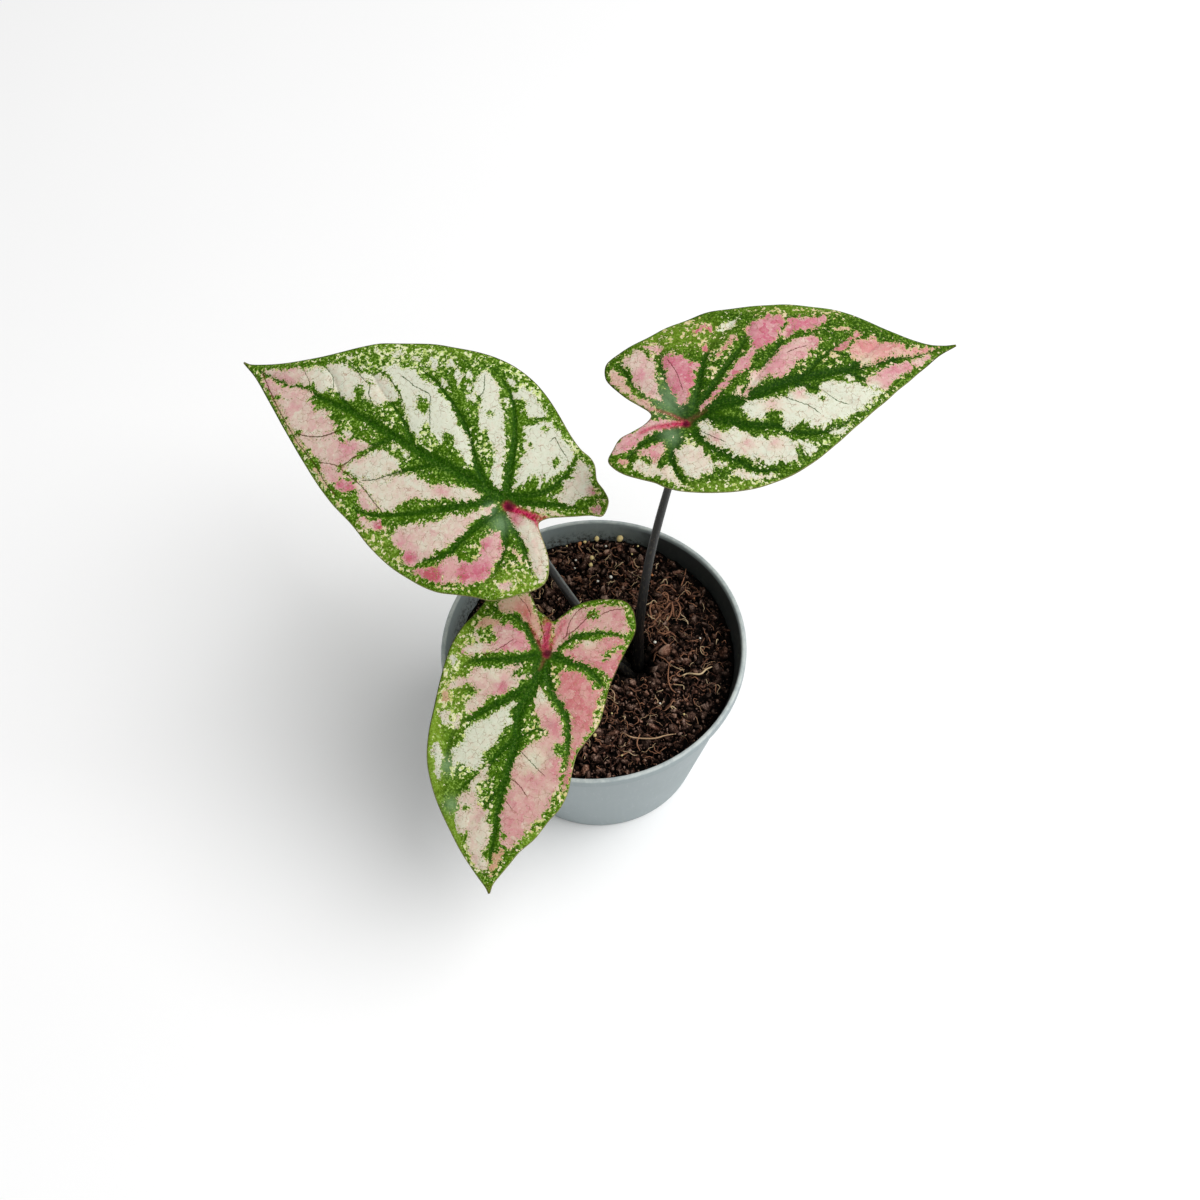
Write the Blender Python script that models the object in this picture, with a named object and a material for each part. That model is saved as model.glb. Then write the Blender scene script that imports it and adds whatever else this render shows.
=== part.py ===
"""Caladium in a round nursery pot: pot, potting mix, tuber, three petioles and three arrow-shaped blades.

Lengths are written in millimetres and become metres when a mesh is made. Origin: middle of the pot's underside, +Z up.
The blades' margins are set out on a drawing sheet, as a draughtsman sights them from one point: each sheet point is
carried along its line of sight until it meets the blade's own curved surface.
"""
import math

import bmesh
import bpy
from mathutils import Vector, geometry

MM = 0.001

# ---- pot: thin tapered wall with a square-shouldered lip, foot ring and drain holes ----
POT_H = 82.0
RIM_R = 60.0            # outside of the lip
LIP_H = 4.2
LIP_W = 1.9
WALL = 1.2
WALL_TOP_R = 58.4       # outside of the wall just under the lip
WALL_FOOT_R = 43.6      # outside of the wall at the foot
FLOOR_T = 1.2
FOOT_LIFT = 1.6         # the floor's underside is lifted by this between the centre pad and the foot ring
PAD_R = 10.0
FOOT_RING_IN = 34.0
DRAIN_R = 4.0
DRAIN_RING = 24.0
DRAINS = 6
POT_SIDES = 96

# ---- potting mix ----
GAP = 0.3
SOIL_Z = 71.6           # mean height of its top
SOIL_SIDES = 64
CROWN = (15.0, -3.3)    # where the petioles leave the mix
PIT_R = 9.6
TUBER_R = 8.0
TUBER_BOTTOM = 47.0
TUBER_TOP = 62.3

# ---- petioles ----
PETIOLE_BASE_R = 2.0
PETIOLE_TOP_R = 1.15
PETIOLE_SIDES = 12
PETIOLE_STEPS = 22

# ---- blades ----
BLADE_T = 0.5
MARGIN_STEP = 3.0
GRID_STEP = 5.2

# ---- the drawing sheet: sighting point, its aim, and sheet units per unit slope ----
SIGHT = Vector((0.0, -241.7, 486.6))
YAW, DIP, ROLL = math.radians(0.89), math.radians(57.18), math.radians(-3.73)
SHEET = 1200.0
SHEET_MID = 600.0


def sheet_axes():
    ahead = Vector((math.sin(YAW) * math.cos(DIP), math.cos(YAW) * math.cos(DIP), -math.sin(DIP)))
    right = Vector((math.cos(YAW), -math.sin(YAW), 0.0))
    up = right.cross(ahead)
    return (math.cos(ROLL) * right + math.sin(ROLL) * up, -math.sin(ROLL) * right + math.cos(ROLL) * up, ahead)


RIGHT, UP, AHEAD = sheet_axes()


def sight_line(x, y):
    return (AHEAD + RIGHT * ((x - SHEET_MID) / SHEET) - UP * ((y - SHEET_MID) / SHEET)).normalized()


# join: sheet point where the petiole meets the blade, and how far from the sighting point it lies
# face: direction that the blade's chord plane faces; arch: rise of the midrib over its chord; cup: droop at 40 mm out
# margin: sheet points round the blade, from the tip and along the edge that is farther from the sighting point first
BLADES = {
    "left": dict(
        join=(507, 506), reach=415.0, tip=(242, 361.5), face=(-0.17, -0.38, 1.0), arch=5.0, cup=3.0, wave=0.7,
        margin=[
            (242, 361.5), (250, 363.8), (262, 364), (280, 363), (300, 360.3), (320, 356.5), (340, 351.8), (360, 347),
            (380, 343), (400, 343), (420, 342.8), (440, 344), (460, 347.5), (480, 352), (500, 359), (515, 366.5),
            (530, 377.5), (540, 387.5), (550, 400.5), (560, 416.5), (570, 434), (580, 448), (590, 457), (595, 466),
            (597, 480), (604, 490), (608.5, 500), (606, 510), (601, 516), (590, 515.2), (575, 516.2), (560, 517),
            (547, 518.4), (538.5, 523.5), (541, 535), (545, 546), (548.5, 560), (548.5, 575), (544, 584), (535, 590),
            (520, 594.5), (505, 599), (490, 601), (475, 597.5), (460, 595.5), (440, 593), (425, 588), (410, 580),
            (390, 567), (370, 548), (350, 523.5), (330, 502), (310, 474), (290, 440), (270, 404.5), (255, 378),
        ],
    ),
    "right": dict(
        join=(686, 423), reach=398.0, tip=(958.5, 344), face=(0.08, -0.10, 1.0), arch=5.0, cup=3.5, wave=0.6,
        margin=[
            (958.5, 344), (945, 344.5), (930, 343.5), (910, 338), (890, 330), (870, 321), (850, 313.5), (830, 307.5),
            (810, 304.5), (790, 303), (770, 304), (750, 305.2), (730, 308), (710, 311.5), (690, 318), (670, 325),
            (650, 335), (630, 346), (612, 358), (605.5, 366), (605, 376), (610, 384), (625, 396), (640, 405),
            (649, 411), (651, 416), (644, 424), (632, 431.2), (620, 438), (613, 449), (608, 460), (614, 468),
            (625, 474), (640, 478), (655, 482), (665, 487), (680, 491.5), (700, 492.8), (720, 492), (740, 490.3),
            (760, 486.8), (780, 479.5), (800, 470.5), (820, 457.5), (840, 441), (860, 423), (880, 406), (900, 389),
            (920, 372), (940, 355),
        ],
    ),
    "front": dict(
        join=(545, 653), reach=428.0, tip=(489, 895), face=(0.0, -0.55, 1.0), arch=4.0, cup=3.5, wave=0.6,
        margin=[
            (489, 895), (493, 885), (500, 876), (510, 864), (520, 852), (535, 839), (550, 820), (560, 809),
            (568, 793), (572, 774), (577, 755), (586, 742), (598, 727), (604, 710), (609, 690), (616, 672),
            (625, 653), (634, 636), (636.3, 624), (633, 610), (625, 601), (610, 598.8), (592, 600), (575, 605.5),
            (562, 615), (553, 620.8), (545, 615), (537, 608.5), (532, 597), (524, 584), (512, 578), (500, 582),
            (490, 595), (475, 613), (462, 627), (450, 647), (441, 675), (434, 705), (428, 735), (427, 765),
            (434, 795), (446, 824), (460, 851), (475, 874), (485, 888),
        ],
    ),
}

# start: foot of the petiole on the tuber; lean: its first Bezier handle; hang: length of its last handle under the blade
PETIOLES = {
    "left": dict(start=(12.9, -1.3, 63.0), lean=(-14.9, -1.1, 33.8), hang=18.2),
    "right": dict(start=(17.4, -2.3, 63.0), lean=(-0.6, 3.3, 66.4), hang=23.8),
    "front": dict(start=(13.4, -6.3, 63.0), lean=(-6.0, -6.0, 35.0), hang=22.0),
}


# ---------------------------------------------------------------- helpers
def material(name, colour, roughness, metallic=0.0):
    m = bpy.data.materials.new(name)
    m.use_nodes = True
    p = m.node_tree.nodes["Principled BSDF"]
    p.inputs["Base Color"].default_value = (*colour, 1.0)
    p.inputs["Roughness"].default_value = roughness
    p.inputs["Metallic"].default_value = metallic
    m.diffuse_color = (*colour, 1.0)
    return m


def finish(bm, name, mat, smooth=True):
    bmesh.ops.recalc_face_normals(bm, faces=bm.faces)
    me = bpy.data.meshes.new(name)
    bm.to_mesh(me)
    bm.free()
    me.materials.append(mat)
    if smooth:
        me.shade_smooth()
        me.set_sharp_from_angle(angle=math.radians(40))
    ob = bpy.data.objects.new(name, me)
    bpy.context.scene.collection.objects.link(ob)
    return ob


def lathe(profile, sides, centre=(0.0, 0.0), turn=0.0):
    """Closed solid of revolution. The profile runs from the axis round the section and back to the axis."""
    bm = bmesh.new()
    rings = []
    for r, z in profile:
        if r < 1e-9:
            rings.append([bm.verts.new(Vector((centre[0], centre[1], z)) * MM)])
        else:
            rings.append([
                bm.verts.new(Vector((centre[0] + r * math.cos(2 * math.pi * i / sides + turn), centre[1] + r * math.sin(2 * math.pi * i / sides + turn), z)) * MM)
                for i in range(sides)
            ])
    for lo, hi in zip(rings, rings[1:]):
        for i in range(sides):
            j = (i + 1) % sides
            if len(lo) == 1:
                bm.faces.new((lo[0], hi[i], hi[j]))
            elif len(hi) == 1:
                bm.faces.new((lo[i], hi[0], lo[j]))
            else:
                bm.faces.new((lo[i], hi[i], hi[j], lo[j]))
    return bm


def cut(target, cutters):
    """Cuts the cutters out of the target and drops them."""
    for c in cutters:
        c.hide_render = True
        c.display_type = "WIRE"
        m = target.modifiers.new("cut", "BOOLEAN")
        m.operation = "DIFFERENCE"
        m.solver = "EXACT"
        m.object = c


# ---------------------------------------------------------------- pot
def inner_r(z):
    """Inside radius of the pot's wall at height z."""
    top, foot = WALL_TOP_R - WALL, WALL_FOOT_R - WALL - 0.1
    return foot + (top - foot) * (z - 4.2) / (POT_H - LIP_H - 0.8 - 4.2)


def make_pot():
    floor = FOOT_LIFT + FLOOR_T
    lip_z = POT_H - LIP_H
    profile = [
        (0, 0), (PAD_R, 0), (PAD_R + 1, FOOT_LIFT), (FOOT_RING_IN - 1, FOOT_LIFT), (FOOT_RING_IN, 0),
        (WALL_FOOT_R - 1.3, 0), (WALL_FOOT_R - 0.4, 0.45), (WALL_FOOT_R, 1.4),
        (WALL_TOP_R, lip_z - 0.8), (WALL_TOP_R + 0.25, lip_z - 0.1), (RIM_R - 0.4, lip_z), (RIM_R, lip_z + 0.5),
        (RIM_R, POT_H - 0.9), (RIM_R - 0.35, POT_H - 0.25), (RIM_R - 0.95, POT_H), (RIM_R - LIP_W + 0.35, POT_H - 0.1),
        (RIM_R - LIP_W, POT_H - 0.6), (inner_r(lip_z - 0.8), lip_z - 0.8),
        (inner_r(40), 40.0), (inner_r(4.2), 4.2), (inner_r(4.2) - 1.2, floor + 0.3), (inner_r(4.2) - 2.8, floor), (0, floor),
    ]
    pot = finish(lathe(profile, POT_SIDES), "pot", material("pot_plastic", (0.34, 0.40, 0.41), 0.55))
    drains = []
    for i in range(DRAINS):
        a = 2 * math.pi * (i + 0.5) / DRAINS + 0.021
        bm = lathe([(0, -2), (DRAIN_R, -2), (DRAIN_R, floor + 2), (0, floor + 2)], 24, (DRAIN_RING * math.cos(a), DRAIN_RING * math.sin(a)), 0.093)
        drains.append(finish(bm, "drain_cutter_%d" % i, bpy.data.materials["pot_plastic"], smooth=False))
    cut(pot, drains)
    return pot


# ---------------------------------------------------------------- potting mix and tuber
def soil_height(x, y):
    """Top of the potting mix: a slight mound with soft hollows, a little lower beside the wall."""
    r = math.hypot(x, y)
    z = SOIL_Z + 0.9 * math.sin(x / 9.0 + 0.6) * math.cos(y / 11.0) + 0.6 * math.sin(y / 6.5 - x / 13.0 + 1.9)
    return z + 0.5 * math.cos(r / 18.0) - 0.8 * max(0.0, r - 46.0) / 10.0


def make_soil():
    bm = bmesh.new()
    n = SOIL_SIDES
    floor = FOOT_LIFT + FLOOR_T + GAP

    def ring(r, height):
        out = []
        for i in range(n):
            a = 2 * math.pi * i / n
            x, y = r * math.cos(a), r * math.sin(a)
            out.append(bm.verts.new(Vector((x, y, height(x, y))) * MM))
        return out

    def flat(z):
        return lambda x, y: z

    edge = inner_r(70.6) - GAP - 0.05
    rings = [ring(r, flat(floor)) for r in (14.0, 27.0, inner_r(4.2) - 3.1)]
    rings += [ring(inner_r(4.2) - 1.6, flat(floor + 0.4)), ring(inner_r(4.2) - GAP - 0.05, flat(4.6))]
    rings += [ring(inner_r(z) - GAP - 0.05, flat(z)) for z in (20.0, 38.0, 56.0)]
    rings += [ring(edge - k, soil_height) for k in (0.0, 3.5, 8.0, 13.0, 18.0, 23.0, 28.0, 33.0, 38.0, 43.0, 47.5, 51.5)]
    low = bm.verts.new(Vector((0, 0, floor)) * MM)
    high = bm.verts.new(Vector((0, 0, soil_height(0, 0))) * MM)
    for a, b in zip(rings, rings[1:]):
        for i in range(n):
            j = (i + 1) % n
            bm.faces.new((a[i], b[i], b[j], a[j]))
    for i in range(n):
        j = (i + 1) % n
        bm.faces.new((low, rings[0][i], rings[0][j]))
        bm.faces.new((high, rings[-1][j], rings[-1][i]))
    soil = finish(bm, "potting_mix", material("potting_mix", (0.045, 0.028, 0.020), 0.95))
    pit = [
        (0, TUBER_BOTTOM - GAP - 0.1), (TUBER_R * 0.55, TUBER_BOTTOM - GAP), (TUBER_R + 0.2, TUBER_BOTTOM + 3.5), (TUBER_R + 0.7, TUBER_BOTTOM + 8.0),
        (TUBER_R + 0.7, TUBER_TOP + 1.0), (PIT_R, SOIL_Z - 3.0), (PIT_R + 1.2, SOIL_Z + 4.0), (0, SOIL_Z + 4.0),
    ]
    cut(soil, [finish(lathe(pit, 32, CROWN), "pit_cutter", soil.data.materials[0], smooth=False)])
    return soil


def make_tuber():
    """Squat corm, broadest above its middle, flat where the petioles stand on it."""
    h = TUBER_TOP - TUBER_BOTTOM
    shape = [(0, 0), (0.45, 0.03), (0.78, 0.14), (0.96, 0.32), (1.0, 0.52), (0.95, 0.72), (0.84, 0.88), (0.76, 0.97), (0.70, 1.0), (0, 1.0)]
    profile = [(TUBER_R * r, TUBER_BOTTOM + h * z) for r, z in shape]
    return finish(lathe(profile, 28, CROWN), "tuber", material("tuber_skin", (0.13, 0.075, 0.04), 0.85))


# ---------------------------------------------------------------- blades
class Blade:
    def __init__(self, spec):
        self.spec = spec
        self.n = Vector(spec["face"]).normalized()
        self.join = SIGHT + sight_line(*spec["join"]) * spec["reach"]
        tip = self.on_plane(*spec["tip"], 0.0)
        self.length = (tip - self.join).length
        self.a = (tip - self.join).normalized()
        self.b = self.n.cross(self.a)

    def on_plane(self, x, y, lift):
        d = sight_line(x, y)
        return SIGHT + d * ((self.join + self.n * lift - SIGHT).dot(self.n) / d.dot(self.n))

    def lift(self, u, v):
        """Height over the chord plane: arched midrib, drooping sides and back lobes, a dimple over the petiole, wavy edge."""
        s, t = self.spec, u / self.length
        h = 4.0 * s["arch"] * (t * (1.0 - t) if t > 0 else t * (1.0 - 0.3 * t))
        h -= s["cup"] * (v / 40.0) ** 2
        h -= 1.4 * (math.exp(-(u * u + v * v) / 60.0) - 1.0)
        h += s["wave"] * math.sin(u / 7.5 + (0.8 if v > 0 else 2.6)) * min(1.0, (v / 34.0) ** 2)
        return h

    def to_uv(self, x, y):
        """Sheet point to the blade's own coordinates: along the midrib, and across it."""
        lift = 0.0
        for _ in range(40):
            q = self.on_plane(x, y, lift) - self.join
            u, v = q.dot(self.a), q.dot(self.b)
            lift += 0.7 * (self.lift(u, v) - lift)
        return u, v

    def point(self, u, v):
        return self.join + self.a * u + self.b * v + self.n * self.lift(u, v)

    def normal(self, u, v):
        e = 0.05
        du = (self.lift(u + e, v) - self.lift(u - e, v)) / (2 * e)
        dv = (self.lift(u, v + e) - self.lift(u, v - e)) / (2 * e)
        return (self.n - self.a * du - self.b * dv).normalized()


def closed_curve(points, step):
    """Catmull-Rom curve through the points, at even steps."""
    pts = [Vector(p) for p in points]
    n = len(pts)
    fine = []
    for i in range(n):
        p0, p1, p2, p3 = pts[i - 1], pts[i], pts[(i + 1) % n], pts[(i + 2) % n]
        for k in range(12):
            t = k / 12.0
            fine.append(0.5 * (2 * p1 + (p2 - p0) * t + (2 * p0 - 5 * p1 + 4 * p2 - p3) * t * t + (3 * p1 - p0 - 3 * p2 + p3) * t * t * t))
    fine.append(fine[0])
    lengths = [0.0]
    for a, b in zip(fine, fine[1:]):
        lengths.append(lengths[-1] + (b - a).length)
    count = max(12, round(lengths[-1] / step))
    out, k = [], 0
    for i in range(count):
        s = lengths[-1] * i / count
        while lengths[k + 1] < s:
            k += 1
        f = (s - lengths[k]) / max(1e-9, lengths[k + 1] - lengths[k])
        out.append(fine[k].lerp(fine[k + 1], f))
    return out


def inside(p, poly):
    hit = False
    for a, b in zip(poly, poly[1:] + poly[:1]):
        if (a.y > p.y) != (b.y > p.y) and p.x < a.x + (b.x - a.x) * (p.y - a.y) / (b.y - a.y):
            hit = not hit
    return hit


def edge_distance(p, poly):
    best = 1e9
    for a, b in zip(poly, poly[1:] + poly[:1]):
        ab = b - a
        t = max(0.0, min(1.0, (p - a).dot(ab) / max(1e-12, ab.length_squared)))
        best = min(best, (a + ab * t - p).length)
    return best


def make_blade(key, blade):
    rim = closed_curve([blade.to_uv(x, y) for x, y in blade.spec["margin"]], MARGIN_STEP)
    pts = list(rim)
    lo = Vector((min(p.x for p in rim), min(p.y for p in rim)))
    hi = Vector((max(p.x for p in rim), max(p.y for p in rim)))
    row, y = 0, lo.y
    while y < hi.y:
        x = lo.x + (GRID_STEP / 2 if row % 2 else 0.0)
        while x < hi.x:
            p = Vector((x, y))
            if inside(p, rim) and edge_distance(p, rim) > 0.45 * GRID_STEP and p.length > 0.5 * GRID_STEP:
                pts.append(p)
            x += GRID_STEP
        y += GRID_STEP * math.sqrt(3) / 2
        row += 1
    pts.append(Vector((0.0, 0.0)))
    n = len(rim)
    verts, _, faces, *_ = geometry.delaunay_2d_cdt(pts, [(i, (i + 1) % n) for i in range(n)], [], 1, 1e-6)
    bm = bmesh.new()
    top = [bm.verts.new(blade.point(p.x, p.y) * MM) for p in verts]
    low = [bm.verts.new((blade.point(p.x, p.y) - blade.normal(p.x, p.y) * BLADE_T) * MM) for p in verts]
    for f in faces:
        bm.faces.new([top[i] for i in f])
        bm.faces.new([low[i] for i in reversed(f)])
    for e in [e for e in bm.edges if e.is_boundary and e.verts[0] in set(top)]:
        i, j = top.index(e.verts[0]), top.index(e.verts[1])
        bm.faces.new((top[i], top[j], low[j], low[i]))
    return finish(bm, "blade_" + key, material("blade_" + key + "_leaf", (0.30, 0.33, 0.17), 0.5))


# ---------------------------------------------------------------- petioles
def make_petiole(key, blade):
    s = PETIOLES[key]
    down = -blade.normal(0.0, 0.0)
    end = blade.point(0.0, 0.0) + down * (BLADE_T + GAP + 0.1)
    p0 = Vector(s["start"])
    p1 = p0 + Vector(s["lean"])
    p2 = end - blade.n * s["hang"]
    bm = bmesh.new()
    rings = []
    side = Vector((1.0, 0.0, 0.0))
    for k in range(PETIOLE_STEPS + 1):
        t = k / PETIOLE_STEPS
        c = p0 * (1 - t) ** 3 + p1 * 3 * t * (1 - t) ** 2 + p2 * 3 * t * t * (1 - t) + end * t ** 3
        d = (p1 - p0) * (1 - t) ** 2 + (p2 - p1) * 2 * t * (1 - t) + (end - p2) * t * t
        d.normalize()
        if k == 0:
            d = Vector((0.0, 0.0, 1.0))
        if k == PETIOLE_STEPS:
            d = -down
        side = (side - d * side.dot(d)).normalized()
        other = d.cross(side)
        r = PETIOLE_BASE_R + (PETIOLE_TOP_R - PETIOLE_BASE_R) * t ** 0.8
        rings.append([
            bm.verts.new((c + (side * math.cos(2 * math.pi * i / PETIOLE_SIDES) + other * math.sin(2 * math.pi * i / PETIOLE_SIDES)) * r) * MM)
            for i in range(PETIOLE_SIDES)
        ])
    for a, b in zip(rings, rings[1:]):
        for i in range(PETIOLE_SIDES):
            j = (i + 1) % PETIOLE_SIDES
            bm.faces.new((a[i], a[j], b[j], b[i]))
    bm.faces.new(list(reversed(rings[0])))
    bm.faces.new(rings[-1])
    return finish(bm, "petiole_" + key, material("petiole_" + key + "_skin", (0.045, 0.055, 0.045), 0.45))


def main():
    for ob in list(bpy.data.objects):
        bpy.data.objects.remove(ob, do_unlink=True)
    make_pot()
    make_soil()
    make_tuber()
    for key, spec in BLADES.items():
        blade = Blade(spec)
        make_blade(key, blade)
        make_petiole(key, blade)


main()
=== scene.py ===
import math

import bpy
import numpy as np
from mathutils import Matrix, Vector, geometry


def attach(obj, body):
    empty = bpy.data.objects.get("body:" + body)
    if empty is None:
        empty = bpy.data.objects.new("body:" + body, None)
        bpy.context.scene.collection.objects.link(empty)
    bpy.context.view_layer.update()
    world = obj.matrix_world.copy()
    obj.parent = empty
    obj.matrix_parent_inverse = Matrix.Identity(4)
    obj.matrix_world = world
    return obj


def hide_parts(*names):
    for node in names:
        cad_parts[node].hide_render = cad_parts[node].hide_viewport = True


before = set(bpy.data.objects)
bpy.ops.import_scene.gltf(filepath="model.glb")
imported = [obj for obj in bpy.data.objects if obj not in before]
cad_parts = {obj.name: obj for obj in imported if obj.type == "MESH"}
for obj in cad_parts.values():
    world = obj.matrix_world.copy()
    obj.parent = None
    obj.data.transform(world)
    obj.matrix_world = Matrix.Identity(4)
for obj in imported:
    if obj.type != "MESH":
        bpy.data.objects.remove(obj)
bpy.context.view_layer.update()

MM = 0.001
rng = np.random.default_rng(20)

# ---------------------------------------------------------------- the part's own dimensions
POT_H, LIP_H, WALL, WALL_TOP_R, WALL_FOOT_R = 82.0, 4.2, 1.2, 58.4, 43.6
SOIL_Z, CROWN, TUBER_R, TUBER_BOTTOM, TUBER_TOP, PIT_R = 71.6, (15.0, -3.3), 8.0, 47.0, 62.3, 9.6
FLOOR_TOP = 2.8
SIGHT = np.array([0.0, -241.7, 486.6])
YAW, DIP, ROLL = math.radians(0.89), math.radians(57.18), math.radians(-3.73)


def sheet_axes():
    ahead = np.array([math.sin(YAW) * math.cos(DIP), math.cos(YAW) * math.cos(DIP), -math.sin(DIP)])
    right = np.array([math.cos(YAW), -math.sin(YAW), 0.0])
    up = np.cross(right, ahead)
    return math.cos(ROLL) * right + math.sin(ROLL) * up, -math.sin(ROLL) * right + math.cos(ROLL) * up, ahead


RIGHT, UP, AHEAD = sheet_axes()


def unit(v):
    v = np.asarray(v, float)
    return v / np.linalg.norm(v, axis=-1, keepdims=True)


def sight_lines(p):
    p = np.atleast_2d(np.asarray(p, float))
    return unit(AHEAD + RIGHT * ((p[:, :1] - 600.0) / 1200.0) - UP * ((p[:, 1:] - 600.0) / 1200.0))


def to_sheet(points):
    d = points - SIGHT
    z = d @ AHEAD
    return np.c_[600.0 + 1200.0 * (d @ RIGHT) / z, 600.0 - 1200.0 * (d @ UP) / z]


BLADES = {
    "left": dict(
        join=(507, 506), reach=415.0, tip=(242, 361.5), deep=0.0, dim=0.5, fleck=0.86, face=(-0.17, -0.38, 1.0), arch=5.0, cup=3.0, wave=0.7,
        margin=[
            (242, 361.5), (250, 363.8), (262, 364), (280, 363), (300, 360.3), (320, 356.5), (340, 351.8), (360, 347),
            (380, 343), (400, 343), (420, 342.8), (440, 344), (460, 347.5), (480, 352), (500, 359), (515, 366.5),
            (530, 377.5), (540, 387.5), (550, 400.5), (560, 416.5), (570, 434), (580, 448), (590, 457), (595, 466),
            (597, 480), (604, 490), (608.5, 500), (606, 510), (601, 516), (590, 515.2), (575, 516.2), (560, 517),
            (547, 518.4), (538.5, 523.5), (541, 535), (545, 546), (548.5, 560), (548.5, 575), (544, 584), (535, 590),
            (520, 594.5), (505, 599), (490, 601), (475, 597.5), (460, 595.5), (440, 593), (425, 588), (410, 580),
            (390, 567), (370, 548), (350, 523.5), (330, 502), (310, 474), (290, 440), (270, 404.5), (255, 378),
        ],
    ),
    "right": dict(
        join=(686, 423), reach=398.0, tip=(958.5, 344), deep=1.0, dim=0.25, fleck=0.86, face=(0.08, -0.10, 1.0), arch=5.0, cup=3.5, wave=0.6,
        margin=[
            (958.5, 344), (945, 344.5), (930, 343.5), (910, 338), (890, 330), (870, 321), (850, 313.5), (830, 307.5),
            (810, 304.5), (790, 303), (770, 304), (750, 305.2), (730, 308), (710, 311.5), (690, 318), (670, 325),
            (650, 335), (630, 346), (612, 358), (605.5, 366), (605, 376), (610, 384), (625, 396), (640, 405),
            (649, 411), (651, 416), (644, 424), (632, 431.2), (620, 438), (613, 449), (608, 460), (614, 468),
            (625, 474), (640, 478), (655, 482), (665, 487), (680, 491.5), (700, 492.8), (720, 492), (740, 490.3),
            (760, 486.8), (780, 479.5), (800, 470.5), (820, 457.5), (840, 441), (860, 423), (880, 406), (900, 389),
            (920, 372), (940, 355),
        ],
    ),
    "front": dict(
        join=(545, 653), reach=428.0, tip=(489, 895), deep=0.1, dim=1.0, fleck=1.0, face=(0.0, -0.55, 1.0), arch=4.0, cup=3.5, wave=0.6,
        margin=[
            (489, 895), (493, 885), (500, 876), (510, 864), (520, 852), (535, 839), (550, 820), (560, 809),
            (568, 793), (572, 774), (577, 755), (586, 742), (598, 727), (604, 710), (609, 690), (616, 672),
            (625, 653), (634, 636), (636.3, 624), (633, 610), (625, 601), (610, 598.8), (592, 600), (575, 605.5),
            (562, 615), (553, 620.8), (545, 615), (537, 608.5), (532, 597), (524, 584), (512, 578), (500, 582),
            (490, 595), (475, 613), (462, 627), (450, 647), (441, 675), (434, 705), (428, 735), (427, 765),
            (434, 795), (446, 824), (460, 851), (475, 874), (485, 888),
        ],
    ),
}

PETIOLES = {
    "left": dict(start=(12.9, -1.3, 63.0), lean=(-14.9, -1.1, 33.8), hang=18.2),
    "right": dict(start=(17.4, -2.3, 63.0), lean=(-0.6, 3.3, 66.4), hang=23.8),
    "front": dict(start=(13.4, -6.3, 63.0), lean=(-6.0, -6.0, 35.0), hang=22.0),
}

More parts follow.
